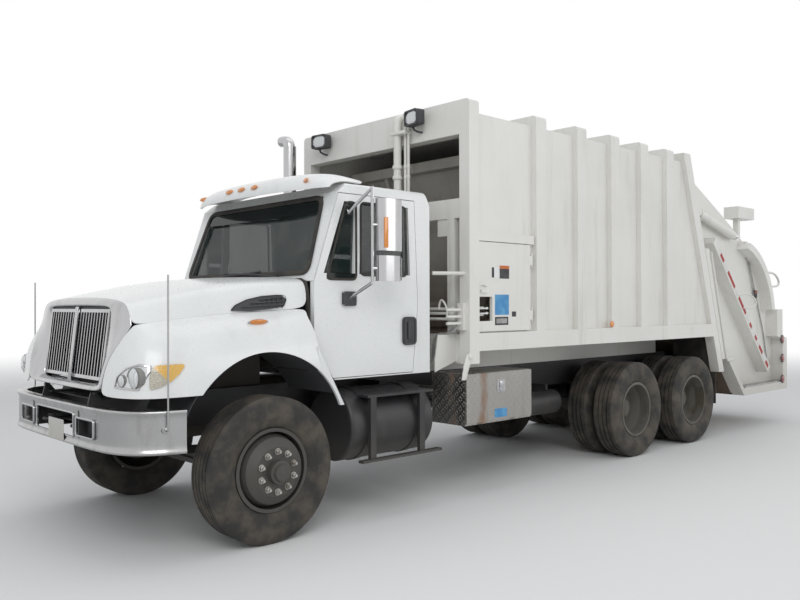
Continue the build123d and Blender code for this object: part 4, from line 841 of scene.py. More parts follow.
def makeShield():
    s = shieldDetail
    rows = []
    for outer, inner in zip(s["outer"], s["inner"]):
        (u0, y0, z0), (u1, y1, z1) = outer, inner
        crown = ((u0 + u1) / 2 + s["crown"], (y0 + y1) / 2, (z0 + z1) / 2)
        rows.append([(u0 - s["skirt"], y0 * 0.985, z0 - 0.004), outer, crown, (u1 + 0.004, y1, z1),
                     (u1 - s["reveal"], y1 * 0.99, z1)])
    rows += [[(u, -y, z) for u, y, z in row] for row in reversed(rows[1:-1])]
    rows.append(rows[0])
    shield = addSheet(ahead(rows), rounds=2)
    editMesh(shield)
    bpy.ops.mesh.remove_doubles(threshold=0.002)
    bpy.ops.mesh.normals_make_consistent(inside=False)
    closeMesh()
    handOver(thicken(shield, s["wall"]), "grilleShield", finishes["chrome"], "hood", smooth=40)
    back = addPanel(onFront(s["screen"], s["screenPlace"]), (-0.006, 0, 0))
    handOver(back, "grilleScreen", finishes["dash_plastic"], "hood")
    half = s["dividerHalf"]
    divider = addPanel(onSide(s["divider"], half), (0, -2 * half, 0), edge=0.004)
    handOver(divider, "grilleDivider", finishes["chrome"], "hood")


# Headlamps: grey bowl with its round lenses, and the pebbled turn lamp round the corner

lampDetail = {
    "bowl": [(0.865, 1.172), (0.880, 1.245), (0.950, 1.303), (1.020, 1.328), (1.072, 1.318), (1.082, 1.280),
             (1.070, 1.215), (1.055, 1.160)],
    "turn": [(0.905, 1.165), (0.900, 1.240), (0.880, 1.300), (0.850, 1.318), (0.690, 1.322), (0.676, 1.312),
             (0.715, 1.262), (0.775, 1.212), (0.845, 1.178)],
    "lamps": (((0.968, 1.012, 1.236), 0.062), ((1.008, 0.920, 1.216), 0.036)),
    "cutFrom": 0.75, "cutDepth": 0.4, "bezel": 0.009,
}


def fenderSheet(side, out):
    # The fender's front once more, set out by a little
    rows = [[(u + out * 0.7, side * (y + out), z) for u, y, z in row] for row in hoodDetail["fender"][:5]]
    return faceOut(addSheet(ahead(rows)), (3.9, 0, 1.2))


def makeHeadlamps():
    d = lampDetail
    for side, word in ((1, "left"), (-1, "right")):
        outline = onFront([(side * y, z) for y, z in d["bowl"]], -d["cutFrom"])
        bowl = cutWith(thicken(fenderSheet(side, -0.045), 0.006), addPanel(outline, (d["cutDepth"], 0, 0)), "INTERSECT")
        rims, domes = [bowl], []
        for (u, y, z), radius in d["lamps"]:
            start, end = (0.03 - u, side * y, z), (-0.012 - u, side * (y + 0.01), z)
            rims.append(softRound(start, end, radius * 1.12, 0.004, 40))
            domes.append(addLens(spot(-0.012 - u, side * (y + 0.010), z), (radius * 0.35, radius, radius)))
        handOver(joined(rims), "lampBowl_" + word, finishes["rim_grey"], "hood")
        handOver(joined(domes), "lampLens_" + word, finishes["lamp_lens"], "hood")
        trim = addBand(outline, d["bezel"], (d["cutDepth"], 0, 0))
        bezel = cutWith(thicken(fenderSheet(side, 0.004), 0.006, 1), trim, "INTERSECT")
        handOver(bezel, "lampBezel_" + word, finishes["chrome"], "hood")
        corner = rounded([(frontAxleX + u, side * 0.9, z) for u, z in d["turn"]], 0.008, 3)
        turn = cutWith(thicken(fenderSheet(side, 0.006), 0.008, 1), addPanel(corner, (0, side * 0.4, 0)), "INTERSECT")
        handOver(turn, "turnLamp_" + word, finishes["turn_lens"], "hood")
        if side == 1:
            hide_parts("headlamps")


def turnLens(name, look):
    # Pebbled lens, clear at its front and amber along its upper rear
    f = Finish(name)
    pebble = f.add("ShaderNodeTexVoronoi", {"feature": "F1"}, {"Vector": f.place, "Scale": look["pebbles"]})
    amber = f.fade(f.axis("X") * -1.0 + f.axis("Z") * 0.9, look["from"], look["from"] + 0.03)
    colour = f.mix(pebble * 0.8, look["clear"], look["deep"])
    colour = f.mix(amber, colour, look["amber"])
    return f.finish(Base_Color=colour, Roughness=0.1 + pebble * 0.1, Coat_Weight=1.0,
                    Normal=f.bump(pebble, 0.004, 0.6))


turnLook = {"clear": (0.55, 0.52, 0.42), "deep": (0.3, 0.27, 0.2), "amber": (0.72, 0.42, 0.07), "pebbles": 90,
            "from": -3.62}
finishes["turn_lens"] = turnLens("turnLens", turnLook)
makeShield()
makeHeadlamps()
print("nose made")

# Hood details: vent, marker and the seal at the cab

ventDetail = {
    "outline": [(-0.185, 1.668), (-0.142, 1.708), (-0.043, 1.750), (0.082, 1.776), (0.208, 1.786), (0.268, 1.782),
                (0.279, 1.752), (0.245, 1.696), (0.128, 1.680), (-0.029, 1.665)],
    "round": 0.012, "rim": -0.016, "slats": 3, "slatRise": 0.028, "slatStep": 0.075, "ribs": 9, "ribPitch": 0.04,
    "marker": (-0.04, 1.586), "markerSize": (0.074, 0.017, 0.026), "baseSize": (0.082, 0.010, 0.034), "lean": -0.75,
}


def onBonnet(places, side, sunk=0.0):
    # Points (distance, z) laid on the bonnet's side
    return [spot(x, side * (0.902 + 0.130 * x - 0.31 * (z - 1.70) - sunk), z) for x, z in places]


def makeVents():
    v = ventDetail
    for side, word in ((1, "left"), (-1, "right")):
        rim = addBand(rounded(onBonnet(v["outline"], side), v["round"], 3), v["rim"], (0, side * 0.014, 0))
        back = addPanel(rounded(onBonnet(v["outline"], side, 0.002), v["round"], 3), (0, side * 0.008, 0))
        parts = [rim, back]
        for index in range(v["slats"]):
            rise = 0.022 + index * v["slatRise"]
            start, end = -0.10 + index * v["slatStep"], 0.262
            slat = onBonnet(((start, 1.668 + rise), (end - 0.02, 1.684 + rise), (end, 1.692 + rise),
                             (start + 0.03, 1.680 + rise)), side)
            parts.append(addPanel(slat, (0, side * 0.017, 0), edge=0.002))
        for index in range(v["ribs"]):
            x = 0.235 - index * v["ribPitch"]
            top = 1.768 - max(0, 0.16 - x) * 0.30
            (_, inner, _), (_, outer, _) = onBonnet([(x, 1.72)], side, 0.022) + onBonnet([(x, 1.72)], side, -0.012)
            parts.append(addBlock(spot(x, inner, 1.684), spot(x + 0.004, outer, top)))
        handOver(joined(parts), "hoodVent_" + word, finishes["dash_plastic"], "hood")
        place, z = v["marker"]
        marker = addLens(spot(place, side * 1.036, z), v["markerSize"], (side * v["lean"], 0, 0))
        handOver(marker, "fenderMarker_" + word, finishes["amber"], "hood")
        base = addLens(spot(place, side * 1.031, z - 0.006), v["baseSize"], (side * v["lean"], 0, 0))
        handOver(base, "markerBase_" + word, finishes["chrome"], "hood")


def makeSeal():
    half = [(0.990, 1.20), (0.990, 1.69), (0.978, 1.80), (0.955, 1.890), (0.88, 1.918), (0.5, 1.926), (0, 1.93)]
    seal = addBand(onFront(half + [(-y, z) for y, z in reversed(half[:-1])], 0.446), 0.05, (-0.014, 0, 0))
    handOver(soften(seal, 0.004), "hoodSeal", finishes["flap_rubber"], "truck")


makeVents()
makeSeal()
print("hood details made")


# Bumper: rolled lips, bright rims round the openings, towing loops, blank plate

bumperDetail = {
    "plan": [(1.105, 0.0), (1.104, 0.20), (1.102, 0.40), (1.098, 0.60), (1.088, 0.77), (1.066, 0.90), (1.018, 1.01),
             (0.945, 1.095), (0.840, 1.155), (0.695, 1.196)],
    "profile": [(-0.060, 1.026), (-0.012, 1.030), (0.010, 1.026), (0.014, 1.012), (0.006, 0.998), (0.000, 0.985),
                (0.000, 0.930), (0.000, 0.840), (0.000, 0.785), (0.005, 0.770), (0.013, 0.756), (0.010, 0.742),
                (-0.012, 0.737), (-0.060, 0.740)],
    "wall": 0.005, "postPlace": (-0.831, 1.206), "postTop": 1.905, "postRadius": 0.0062,
    "cuts": (((0.416, 0.823), (0.684, 0.936)), ((-0.684, 0.823), (-0.416, 0.936)), ((-0.35, 0.80), (0.35, 0.96))),
    "lampRim": ((0.404, 0.811), (0.696, 0.948)), "middleRim": ((-0.36, 0.79), (0.36, 0.97)),
    "backs": (((-1.035, 0.41, 0.815), (-1.043, 0.69, 0.945)), ((-1.035, -0.69, 0.815), (-1.043, -0.41, 0.945))),
    "plate": ((-0.084, 0.752), (0.203, 0.900)), "platePlace": -1.1155, "hooks": (-0.27, 0.27),
}


def bumperRows():
    half = [Vector((u, y)) for u, y in bumperDetail["plan"]]
    plan = [Vector((u, -y)) for u, y in reversed(half[1:])] + half
    rows = []
    for index, point in enumerate(plan):
        along = (plan[min(index + 1, len(plan) - 1)] - plan[max(index - 1, 0)]).normalized()
        out = Vector((along.y, -along.x))
        rows.append([spot(-(point.x + out.x * reach), point.y + out.y * reach, z)
                     for reach, z in bumperDetail["profile"]])
    return rows


def makeBumper():
    b = bumperDetail
    shell = thicken(faceOut(addSheet(bumperRows()), (4.2, 0, 0.88)), b["wall"])
    for low, high in b["cuts"]:
        shell = cutWith(shell, addPanel(rounded(onFront(oblong(low, high), -1.0), 0.025, 4), (0.3, 0, 0)))
    place, y = b["postPlace"]
    for side in (1, -1):
        post = addPipe([(place, side * 1.13, 0.90), (place, side * (y - 0.01), 0.90), (place, side * y, 0.915),
                        (place, side * y, 1.10), (place, side * y, b["postTop"])], b["postRadius"])
        foot = softRound((place, side * 1.135, 0.90), (place, side * 1.170, 0.90), 0.020, 0.003, 20)
        shell = joined([shell, post, foot])
    handOver(shell, "bumperShell", finishes["bumper_metal"], "truck", smooth=40)
    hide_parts("front_bumper")
    rims = []
    for side in (1, -1):
        ring = [spot(-1.094 - 0.008 * (y < 0.5), side * y, z) for y, z in oblong(*b["lampRim"])]
        rims.append(addBand(rounded(ring, 0.03), 0.014, (0.016, 0, 0)))
    rims.append(addBand(rounded(onFront(oblong(*b["middleRim"]), -1.100), 0.03), 0.012, (0.012, 0, 0)))
    handOver(soften(joined(rims), 0.003), "bumperRims", finishes["chrome"], "truck")
    backs = joined([softBlock(low, high, 0.004) for low, high in b["backs"]])
    handOver(backs, "bumperBacks", finishes["dash_plastic"], "truck")
    plate = addPanel(onFront(oblong(*b["plate"]), b["platePlace"]), (0.0025, 0, 0), 0.012)
    handOver(plate, "numberPlate", finishes["plate_white"], "truck")
    hooks = [addPipe([(-1.00, y - 0.03, 0.86), (-1.07, y - 0.03, 0.86), (-1.085, y, 0.862), (-1.07, y + 0.03, 0.86),
                      (-1.00, y + 0.03, 0.86)], 0.013) for y in b["hooks"]]
    handOver(joined(hooks), "towLoops", finishes["chassis_black"], "truck")


finishes["plate_white"] = sheetPaint("plateWhite", dict(cabPaint, dirt=0.6, dirtTop=1.4, rough=0.4, coat=0.0))
makeBumper()
print("bumper dressed")


# Cab: visor, windscreen rubber, a band of painted shade under the visor, wipers, windows, handles

cabDetail = {
    "visor": [  # y, then (distance, z) from the lip back over the crown to the roof
        (0.0, (0.450, 2.622), (0.444, 2.662), (0.487, 2.737), (0.600, 2.784), (0.745, 2.796), (1.0, 2.768)),
        (0.35, (0.462, 2.622), (0.456, 2.662), (0.499, 2.736), (0.610, 2.783), (0.750, 2.795), (1.0, 2.767)),
        (0.62, (0.492, 2.623), (0.487, 2.661), (0.530, 2.732), (0.636, 2.778), (0.765, 2.789), (1.0, 2.762)),
        (0.83, (0.545, 2.626), (0.541, 2.660), (0.582, 2.722), (0.672, 2.765), (0.785, 2.776), (1.0, 2.750)),
        (0.95, (0.600, 2.630), (0.598, 2.657), (0.632, 2.703), (0.706, 2.738), (0.805, 2.750), (1.0, 2.728)),
        (1.00, (0.645, 2.632), (0.645, 2.645), (0.672, 2.668), (0.738, 2.690), (0.825, 2.702), (1.0, 2.690)),
    ],
    "markers": ((0.0, 0.455), (0.195, 0.458), (-0.195, 0.458), (0.795, 0.553), (-0.795, 0.553)),
    "screen": [(-0.960, 1.940), (0.960, 1.940), (0.888, 2.588), (-0.888, 2.588)], "screenWidth": 0.042,
    # outline of the painted shade band under the visor
    "painted_shade": [(-0.85, 2.452), (-0.6, 2.447), (0, 2.443), (0.6, 2.447), (0.85, 2.452), (0.865, 2.575), (-0.865, 2.575)],
    "wipers": (  # radius, then (side, z, out)
        (0.009, (0.42, 1.945, 0.02), (0.1, 1.966, 0.028), (-0.28, 1.985, 0.022)),
        (0.007, (0.55, 1.935, 0.014), (0.35, 1.955, 0.036), (0.05, 1.976, 0.034))),
    "doorFace": 1.029,
    "windows": ([(0.925, 1.938), (0.925, 2.540), (1.440, 2.540), (1.450, 1.938)],
                [(0.575, 1.900), (0.775, 2.535), (0.895, 2.535), (0.895, 1.900)]),
    # outline of the painted shade strip under the vent window's glass
    "ventSill": [(0.587, 1.910), (0.603, 1.958), (0.880, 1.958), (0.880, 1.910)],
    "handle": ((1.390, 1.366), (1.540, 1.604)), "handleRim": ((1.394, 1.370), (1.536, 1.600)),
    "grip": ((1.428, 1.053, 1.415), (1.462, 1.070, 1.565)), "mirrorFoot": ((0.738, 1.698), (0.872, 1.814)),
    "mirrorLamp": ((0.922, 2.152), (0.962, 2.392)), "mirrorGlasses": ((2.14, 2.53), (1.90, 2.08)),
}


def makeVisor():
    rows = []
    for y, *points in reversed(cabDetail["visor"][1:]):
        rows.append([spot(distance, -y, z) for distance, z in points])
    for y, *points in cabDetail["visor"]:
        rows.append([spot(distance, y, z) for distance, z in points])
    visor = thicken(faceOut(addSheet(rows), (2.9, 0, 2.2)), 0.012)
    handOver(visor, "visorShell", finishes["cab_white"], "truck", smooth=45)
    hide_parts("sun_visor")
    lenses = [addLens(spot(distance + 0.008, y, 2.700), (0.014, 0.050, 0.023), (0, -0.5, -y * 0.45))
              for y, distance in cabDetail["markers"]]
    handOver(joined(lenses), "visorMarkers", finishes["amber"], "truck")


def onScreen(y, z, out=0.0):
    # A place in front of the sloping windscreen
    return (0.462 + 0.3357 * (z - 1.9) - out, y, z)


def makeScreen():
    c = cabDetail
    ring = rounded([spot(*onScreen(y, z, 0.003)) for y, z in c["screen"]], 0.11)
    seal = addBand(ring, c["screenWidth"], (0.011, 0, 0.003))
    handOver(soften(seal, 0.004), "screenRubber", finishes["flap_rubber"], "truck")
    # Dark band across the top of the windscreen: painted shade under the visor
    painted_shade = addPanel([spot(*onScreen(y, z, 0.001)) for y, z in c["painted_shade"]], (0.002, 0, 0))
    handOver(painted_shade, "paintedShadeBand", finishes["painted_shade"], "truck")
    wipers = [addPipe([onScreen(side * y, z, out) for y, z, out in places], radius)
              for side in (1, -1) for radius, *places in c["wipers"]]
    handOver(joined(wipers), "wipers", finishes["dash_plastic"], "truck")


def makeDoorTrim():
    c = cabDetail
    face = c["doorFace"]
    strips = [addBand(rounded(onSide(window, face), 0.055), 0.018, (0, 0.006, 0)) for window in c["windows"]]
    bothSides(joined(strips), "windowRubber", "flap_rubber", cabDoors)
    # Dark strip under the vent window's glass: painted shade in the recess
    ventShade = addPanel(onSide(c["ventSill"], face), (0, 0.0025, 0))
    bothSides(ventShade, "ventSill", "painted_shade", cabDoors)
    plate = addPanel(onSide(oblong(*c["handle"]), face), (0, 0.0245, 0), 0.04, 0.004)
    rim = addBand(rounded(onSide(oblong(*c["handleRim"]), 1.053), 0.04), 0.018, (0, 0.006, 0))
    plate = joined([plate, rim, softBlock(*c["grip"], 0.006)])
    bothSides(plate, "handlePlate", "dash_plastic", cabDoors)
    foot = addPanel(onSide(oblong(*c["mirrorFoot"]), face), (0, 0.0285, 0), 0.02, 0.005)
    bothSides(foot, "mirrorFoot", "dash_plastic", cabDoors)
    strip = addPanel(onSide(oblong(*c["mirrorLamp"]), 1.300), (0, 0.0355, 0), 0.008, 0.002)
    bothSides(strip, "mirrorLamp", "amber", cabDoors)
    glasses = [addPanel(onFront(((1.293, low), (1.306, low), (1.306, high), (1.293, high)), 1.1285), (-0.003, 0, 0))
               for low, high in c["mirrorGlasses"]]
    bothSides(joined(glasses), "mirrorGlass", "chrome", cabDoors)


# Near-black glass for painted shade: the band under the visor and the strip under the vent window
paintedShadeGlass = {"tint": (0.006, 0.01, 0.01), "dusty": (0.02, 0.024, 0.022), "solid": 0.88}
finishes["painted_shade"] = windowGlass("paintedShadeGlass", paintedShadeGlass)
makeVisor()
makeScreen()
makeDoorTrim()
print("cab dressed")

# Body front: hydraulic pipes, valve hoses, work lamps, door marks and levers

bodyDetail = {
    "pipes": ((0.345, 0.038), (0.430, 0.014), (0.472, 0.014)), "pipeTop": 3.500, "pipeFoot": 1.75, "front": 2.03,
    "collars": ((2.90, 2.935), (3.00, 3.035)), "brackets": (3.32, 2.5),
    "valveRows": (1.667, 1.627, 1.577), "valveLoop": (
        (1.95, 0.92, 1.66), (1.95, 0.925, 1.72), (1.95, 0.951, 1.755), (1.95, 0.993, 1.72), (1.95, 1.028, 1.65),
        (1.95, 1.02, 1.59)),
    "slack": (
        (0.011, (1.95, 1.155, 1.521), (1.94, 1.101, 1.455), (1.95, 1.019, 1.449), (1.95, 0.88, 1.44),
         (1.96, 0.837, 1.34), (1.97, 0.82, 1.20)),
        (0.010, (1.97, 1.08, 1.50), (1.95, 1.05, 1.47), (1.96, 0.96, 1.40), (1.97, 0.90, 1.33), (1.98, 0.86, 1.16))),
    "lamps": ((0.625, 3.440, 0.35), (-0.800, 3.425, -0.25)), "lampHalf": (0.105, 0.072),
    "markFace": 1.1985, "markThick": 0.0012,
    "marks": [  # finish, then (distance, z) of two corners
        ("mark_dark", (2.355, 1.952), (2.385, 2.045)), ("plate_white", (2.388, 1.952), (2.452, 2.045)),
        ("mark_dark", (2.465, 1.945), (2.600, 2.035)), ("mark_orange", (2.465, 2.035), (2.600, 2.064)),
        ("mark_blue", (2.397, 1.610), (2.595, 1.797)), ("mark_dark", (2.397, 1.517), (2.585, 1.592)),
        ("mark_grey", (2.415, 1.532), (2.567, 1.577)), ("mark_dark", (2.640, 1.592), (2.700, 1.640)),
    ],
    "levers": (1.668, 1.622),
    "hook": ((2.165, 1.205, 1.865), (2.175, 1.212, 1.885), (2.20, 1.214, 1.888), (2.24, 1.212, 1.884),
             (2.27, 1.206, 1.870)),
    "prop": ((1.985, 1.275), (2.045, 1.265), (2.030, 1.20), (1.968, 1.045), (1.915, 1.045), (1.945, 1.18)),
    "exhaust": ((1.768, -1.122, 3.37), (1.768, -1.122, 3.415), (1.768, -1.142, 3.450), (1.768, -1.192, 3.470),
                (1.768, -1.272, 3.474)), "exhaustRadius": 0.056,
    "mouth": ((1.768, -1.2715, 3.474), (1.768, -1.2732, 3.474), 0.050, 0.0007),
}


def plainMark(name, look):
    # Printed sheet without any print left on it, faded in patches
    f = Finish(name)
    patch = f.noise(14, detail=5)
    colour = f.mix(f.fade(patch, 0.4, 0.7), look["ink"], look["faded"])
    return f.finish(Base_Color=colour, Roughness=0.45 + patch * 0.2, Normal=f.bump(patch, 0.001, 0.15))


for markName, look in {
    "mark_dark": {"ink": (0.018, 0.018, 0.022), "faded": (0.05, 0.05, 0.055)},
    "mark_orange": {"ink": (0.55, 0.13, 0.02), "faded": (0.5, 0.2, 0.08)},
    "mark_blue": {"ink": (0.05, 0.25, 0.52), "faded": (0.12, 0.36, 0.6)},
    "mark_grey": {"ink": (0.3, 0.3, 0.29), "faded": (0.42, 0.41, 0.4)},
    "mark_red": {"ink": (0.35, 0.02, 0.02), "faded": (0.42, 0.06, 0.05)},
    "mark_white": {"ink": (0.72, 0.72, 0.7), "faded": (0.62, 0.61, 0.58)},
}.items():
    finishes[markName] = plainMark(markName, look)


def makePipes():
    b = bodyDetail
    runs = []
    for y, radius in b["pipes"]:
        front, top = b["front"] - radius - 0.012, b["pipeTop"]
        rise = [(front, y, z) for z in (b["pipeFoot"], 2.2, 2.9, 3.2, top - 0.06)]
        runs.append(addPipe(rise + [(front + 0.01, y, top - 0.01), (2.05, y, top)], radius, roundness=4))
        for low, high in b["collars"]:
            runs.append(softRound((front, y, low), (front, y, high), radius * 1.28, 0.004, 20))
    for height in b["brackets"]:
        runs.append(softBlock((1.93, 0.29, height), (2.032, 0.50, height + 0.03), 0.004))
    handOver(joined(runs), "packerPipes", finishes["body_white"], "truck", smooth=50)
    hoses = []
    for z in b["valveRows"]:
        hoses.append(addPipe([(1.99, 0.52, z), (1.99, 0.75, z), (1.985, 0.95, z), (1.985, 1.08, z)], 0.014))
        hoses.append(softRound((1.985, 1.03, z), (1.985, 1.075, z), 0.021, 0.003, 6))
    hoses.append(addPipe(b["valveLoop"], 0.009))
    handOver(joined(hoses), "valvePipes", finishes["body_white"], "truck", smooth=50)
    slack = [addPipe(places, radius) for radius, *places in b["slack"]]
    handOver(joined(slack), "valveHoses", finishes["mark_grey"], "truck", smooth=50)


def makeWorkLamps():
    across, up = bodyDetail["lampHalf"]
    for (y, z, turn), word in zip(bodyDetail["lamps"], ("near", "far")):
        shell = softBlock((1.905, y - across, z - up), (1.995, y + across, z + up), 0.022, 3)
        corners = [(y - across, z - up), (y + across, z - up), (y + across, z + up), (y - across, z + up)]
        rim = addBand(rounded(onFront(corners, 1.907), 0.03), 0.014, (0.014, 0, 0))
        stand = addPipe([(1.95, y - 0.03, z - 0.07), (1.95, y - 0.03, z - 0.10), (1.955, y, z - 0.115),
                         (1.98, y, z - 0.125), (2.032, y, z - 0.125)], 0.010)
        housing = joined([shell, rim, stand])
        lens = addLens(spot(1.906, y, z), (0.006, 0.092, 0.060))
        for piece in (housing, lens):
            pick(piece)
            bpy.ops.transform.rotate(value=turn * 0.5, orient_axis="Z", center_override=spot(1.99, y, z))
            settle(piece)
        handOver(housing, "workLamp_" + word, finishes["dash_plastic"], "truck")
        handOver(lens, "workLens_" + word, finishes["lamp_lens"], "truck")


def makeDoorMarks():
    b = bodyDetail
    for index, (finish, low, high) in enumerate(b["marks"]):
        lift = 0.0014 if finish in ("mark_grey", "mark_orange") else 0.0
        mark = addPanel(onSide(oblong(low, high), b["markFace"] + lift), (0, b["markThick"], 0), 0.004)
        handOver(mark, "doorMark_%d" % index, finishes[finish], "access_door")
    levers = []
    for z in b["levers"]:
        levers.append(addPipe([(2.12, 1.12, z), (2.20, 1.135, z), (2.26, 1.15, z + 0.002), (2.30, 1.155, z + 0.003),
                               (2.33, 1.158, z + 0.004)], 0.008))
        levers.append(addLens(spot(2.33, 1.158, z + 0.004), (0.018, 0.012, 0.012)))
    handOver(joined(levers), "valveLevers", finishes["plate_white"], "truck", smooth=50)
    hook = addPipe(b["hook"], 0.007)
    handOver(hook, "doorHook", finishes["body_white"], "access_door", smooth=50)
    arm = addPanel(onSide(b["prop"], 1.222), (0, 0.010, 0), 0.012, 0.002)
    pin = softRound((2.02, 1.215, 1.25), (2.02, 1.245, 1.25), 0.026, 0.004, 20)
    handOver(joined([arm, pin]), "propLever", finishes["body_white"], "truck")


def makeToolbox():
    seat = addPanel(onSide(oblong((2.405, 0.905), (2.522, 1.022)), 1.2105), (0, 0.004, 0), 0.03)
    bar = softBlock((2.44, 1.213, 0.94), (2.49, 1.222, 1.005), 0.004)
    cup = softRound((2.465, 1.212, 0.93), (2.465, 1.221, 0.93), 0.028, 0.003)
    handOver(joined([seat, bar, cup]), "toolLatch", finishes["chrome"], "toolbox_door")
    mark = addPanel(onSide(oblong((2.372, 0.676), (2.545, 0.755)), 1.2108), (0, bodyDetail["markThick"], 0), 0.004)
    handOver(mark, "toolMark", finishes["mark_blue"], "toolbox_door")
    amber = softRound((4.290, 1.219, 1.492), (4.290, 1.236, 1.492), 0.034, 0.008, 28, 3)
    handOver(amber, "sideMarker", finishes["amber"], "truck", smooth=50)


def makeExhaustTip():
    b = bodyDetail
    tip = addPipe(b["exhaust"], b["exhaustRadius"], roundness=5)
    handOver(tip, "exhaustTip", finishes["chrome"], "truck", smooth=50)
    # Black disc in the pipe's open end: soot, and painted shade of the hollow pipe
    handOver(softRound(*b["mouth"], 32), "exhaustSootAndShade", finishes["flap_rubber"], "truck")


# Tailgate: striped tape, grab loops, lamps, hoses, step edge

tailDetail = {
    "tapeStart": (6.795, 2.392), "tapeEnd": (8.275, 0.808), "tapeWidth": 0.050, "tapeThick": 0.0012,
    "reds": ((0.03, 0.09), (0.17, 0.30), (0.38, 0.52), (0.60, 0.64), (0.71, 0.75), (0.80, 0.87), (0.94, 0.995)),
    "loops": (
        (0.013, (7.34, 1.215, 1.825), (7.42, 1.262, 1.835), (7.565, 1.27, 1.833), (7.74, 1.27, 1.770),
         (7.785, 1.27, 1.700), (7.70, 1.268, 1.655), (7.56, 1.258, 1.648), (7.50, 1.215, 1.648)),
        (0.015, (8.42, 1.12, 2.150), (8.62, 1.12, 2.155), (8.78, 1.12, 2.13), (8.90, 1.12, 2.05),
         (8.905, 1.12, 1.985), (8.82, 1.12, 1.950), (8.50, 1.12, 1.950))),
    "rounds": (1.188, 0.915, 0.615), "roundPlace": 8.757,
    "hoses": (
        (0.008, (7.80, 1.075, 2.50), (7.97, 1.075, 2.36), (8.09, 1.075, 2.116), (8.186, 1.075, 1.875),
         (8.33, 1.075, 1.582), (8.50, 1.075, 1.208), (8.60, 1.075, 0.80)),
        (0.006, (7.80, 1.075, 2.44), (7.93, 1.078, 2.33), (8.04, 1.078, 2.10), (8.14, 1.078, 1.80))),
    "hookRing": ((7.72, 1.13, 2.46), (7.70, 1.15, 2.50), (7.74, 1.155, 2.56), (7.79, 1.15, 2.52), (7.78, 1.13, 2.46)),
    "rod": ((6.560, 1.232, 2.355), (6.66, 1.232, 2.02), (6.76, 1.232, 1.70), (6.88, 1.232, 1.30),
            (6.975, 1.232, 0.99)), "rodRadius": 0.013,
}


def tapePiece(first, last, y):
    t = tailDetail
    (d0, z0), (d1, z1) = t["tapeStart"], t["tapeEnd"]
    length = math.hypot(d1 - d0, z1 - z0)
    across = ((z1 - z0) / length * t["tapeWidth"] / 2, -(d1 - d0) / length * t["tapeWidth"] / 2)
    corners = []
    for share, sign in ((first, 1), (last, 1), (last, -1), (first, -1)):
        corners.append((d0 + (d1 - d0) * share + across[0] * sign, z0 + (z1 - z0) * share + across[1] * sign))
    return addPanel(onSide(corners, y), (0, t["tapeThick"], 0))


def makeTail():
    t = tailDetail
    bothSides(tapePiece(0, 1, 1.2205), "tapeWhite", "mark_white", bothTail)
    reds = joined([tapePiece(first, last, 1.2212) for first, last in t["reds"]])
    bothSides(reds, "tapeRed", "mark_red", bothTail)
    loops = joined([addPipe(places, radius) for radius, *places in t["loops"]])
    bothSides(loops, "grabLoops", "body_white", bothTail, smooth=50)
    box = softBlock((8.145, 1.058, 1.785), (8.235, 1.092, 1.893), 0.008)
    bothSides(box, "tailLampBox", "dash_plastic", bothTail)
    cap = softBlock((8.150, 1.088, 1.845), (8.230, 1.099, 1.888), 0.005)
    bothSides(cap, "tailLamp", "red", bothTail)
    place = t["roundPlace"]
    rings = joined([softRound((place, 1.218, z), (place, 1.232, z), 0.062, 0.006, 32) for z in t["rounds"]])
    bothSides(rings, "rearRings", "dash_plastic", bothTail)
    rounds = joined([addLens(spot(place, 1.233, z), (0.046, 0.010, 0.046)) for z in t["rounds"]])
    bothSides(rounds, "rearLamps", "red", bothTail)
    hoses = joined([addPipe(places, radius) for radius, *places in t["hoses"]])
    bothSides(hoses, "tailHoses", "mark_grey", bothTail, smooth=50)
    bracket = softBlock((7.70, 1.06, 2.44), (7.80, 1.13, 2.56), 0.008)
    ring = addPipe(t["hookRing"], 0.010)
    bothSides(joined([bracket, ring]), "tailHook", "body_white", bothTail)
    rod = addPipe(t["rod"], t["rodRadius"])
    catch = softBlock((6.99, 1.221, 0.955), (7.17, 1.240, 1.000), 0.008)
    bothSides(joined([rod, catch]), "tailRod", "body_white", bothTail, smooth=50)
    edge = softBlock((7.545, 1.10, 0.575), (8.790, 1.224, 0.596), 0.006)
    bothSides(edge, "stepEdge", "bumper_metal", bothTail)


makeExhaustTip()
makePipes()
makeWorkLamps()
makeDoorMarks()
makeToolbox()
makeTail()
print("body dressed")


# Seats: padded and sewn, from the frame's own blocks

padDetail = {
    "voxel": 0.010, "shrink": -0.012, "pressure": 4.0, "frames": 20, "cap": 0.014, "pipingRadius": 0.005,
    "piping": ((0.86, -0.235, 1.535), (1.05, -0.245, 1.56), (1.25, -0.235, 1.565), (1.30, 0, 1.58),
               (1.25, 0.235, 1.565), (1.05, 0.245, 1.56), (0.86, 0.235, 1.535)), "middles": (-0.48, 0.48),
}


def makeSeats():
    p = padDetail
    seats = copyOf(nodes["seats"])
    pick(seats)
    remesh = seats.modifiers.new("remesh", "REMESH")
    remesh.mode, remesh.voxel_size = "VOXEL", p["voxel"]
    bpy.ops.object.modifier_apply(modifier="remesh")
    editMesh(seats)
    bpy.ops.transform.shrink_fatten(value=p["shrink"])
    closeMesh()
    start = [vertex.co.copy() for vertex in seats.data.vertices]
    pick(seats)
    cloth = seats.modifiers.new("pad", "CLOTH")
    cloth.settings.quality = 4
    cloth.settings.use_pressure = True
    cloth.settings.uniform_pressure_force = p["pressure"]
    cloth.settings.effector_weights.gravity = 0
    for count in range(1, p["frames"] + 1):
        bpy.context.scene.frame_set(count)
    bpy.ops.object.modifier_apply(modifier="pad")
    bpy.context.scene.frame_set(1)
    for vertex, before in zip(seats.data.vertices, start):
        move = vertex.co - before
        if move.length > p["cap"]:
            vertex.co = before + move.normalized() * p["cap"]
    handOver(seats, "paddedSeats", finishes["seat_cloth"], "truck", smooth=80)
    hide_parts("seats")
    rims = [addPipe([(x, middle + y, z) for x, y, z in p["piping"]], p["pipingRadius"]) for middle in p["middles"]]
    handOver(joined(rims), "seatPiping", finishes["flap_rubber"], "truck", smooth=50)


makeSeats()
print("seats padded")

# Floor, light and camera

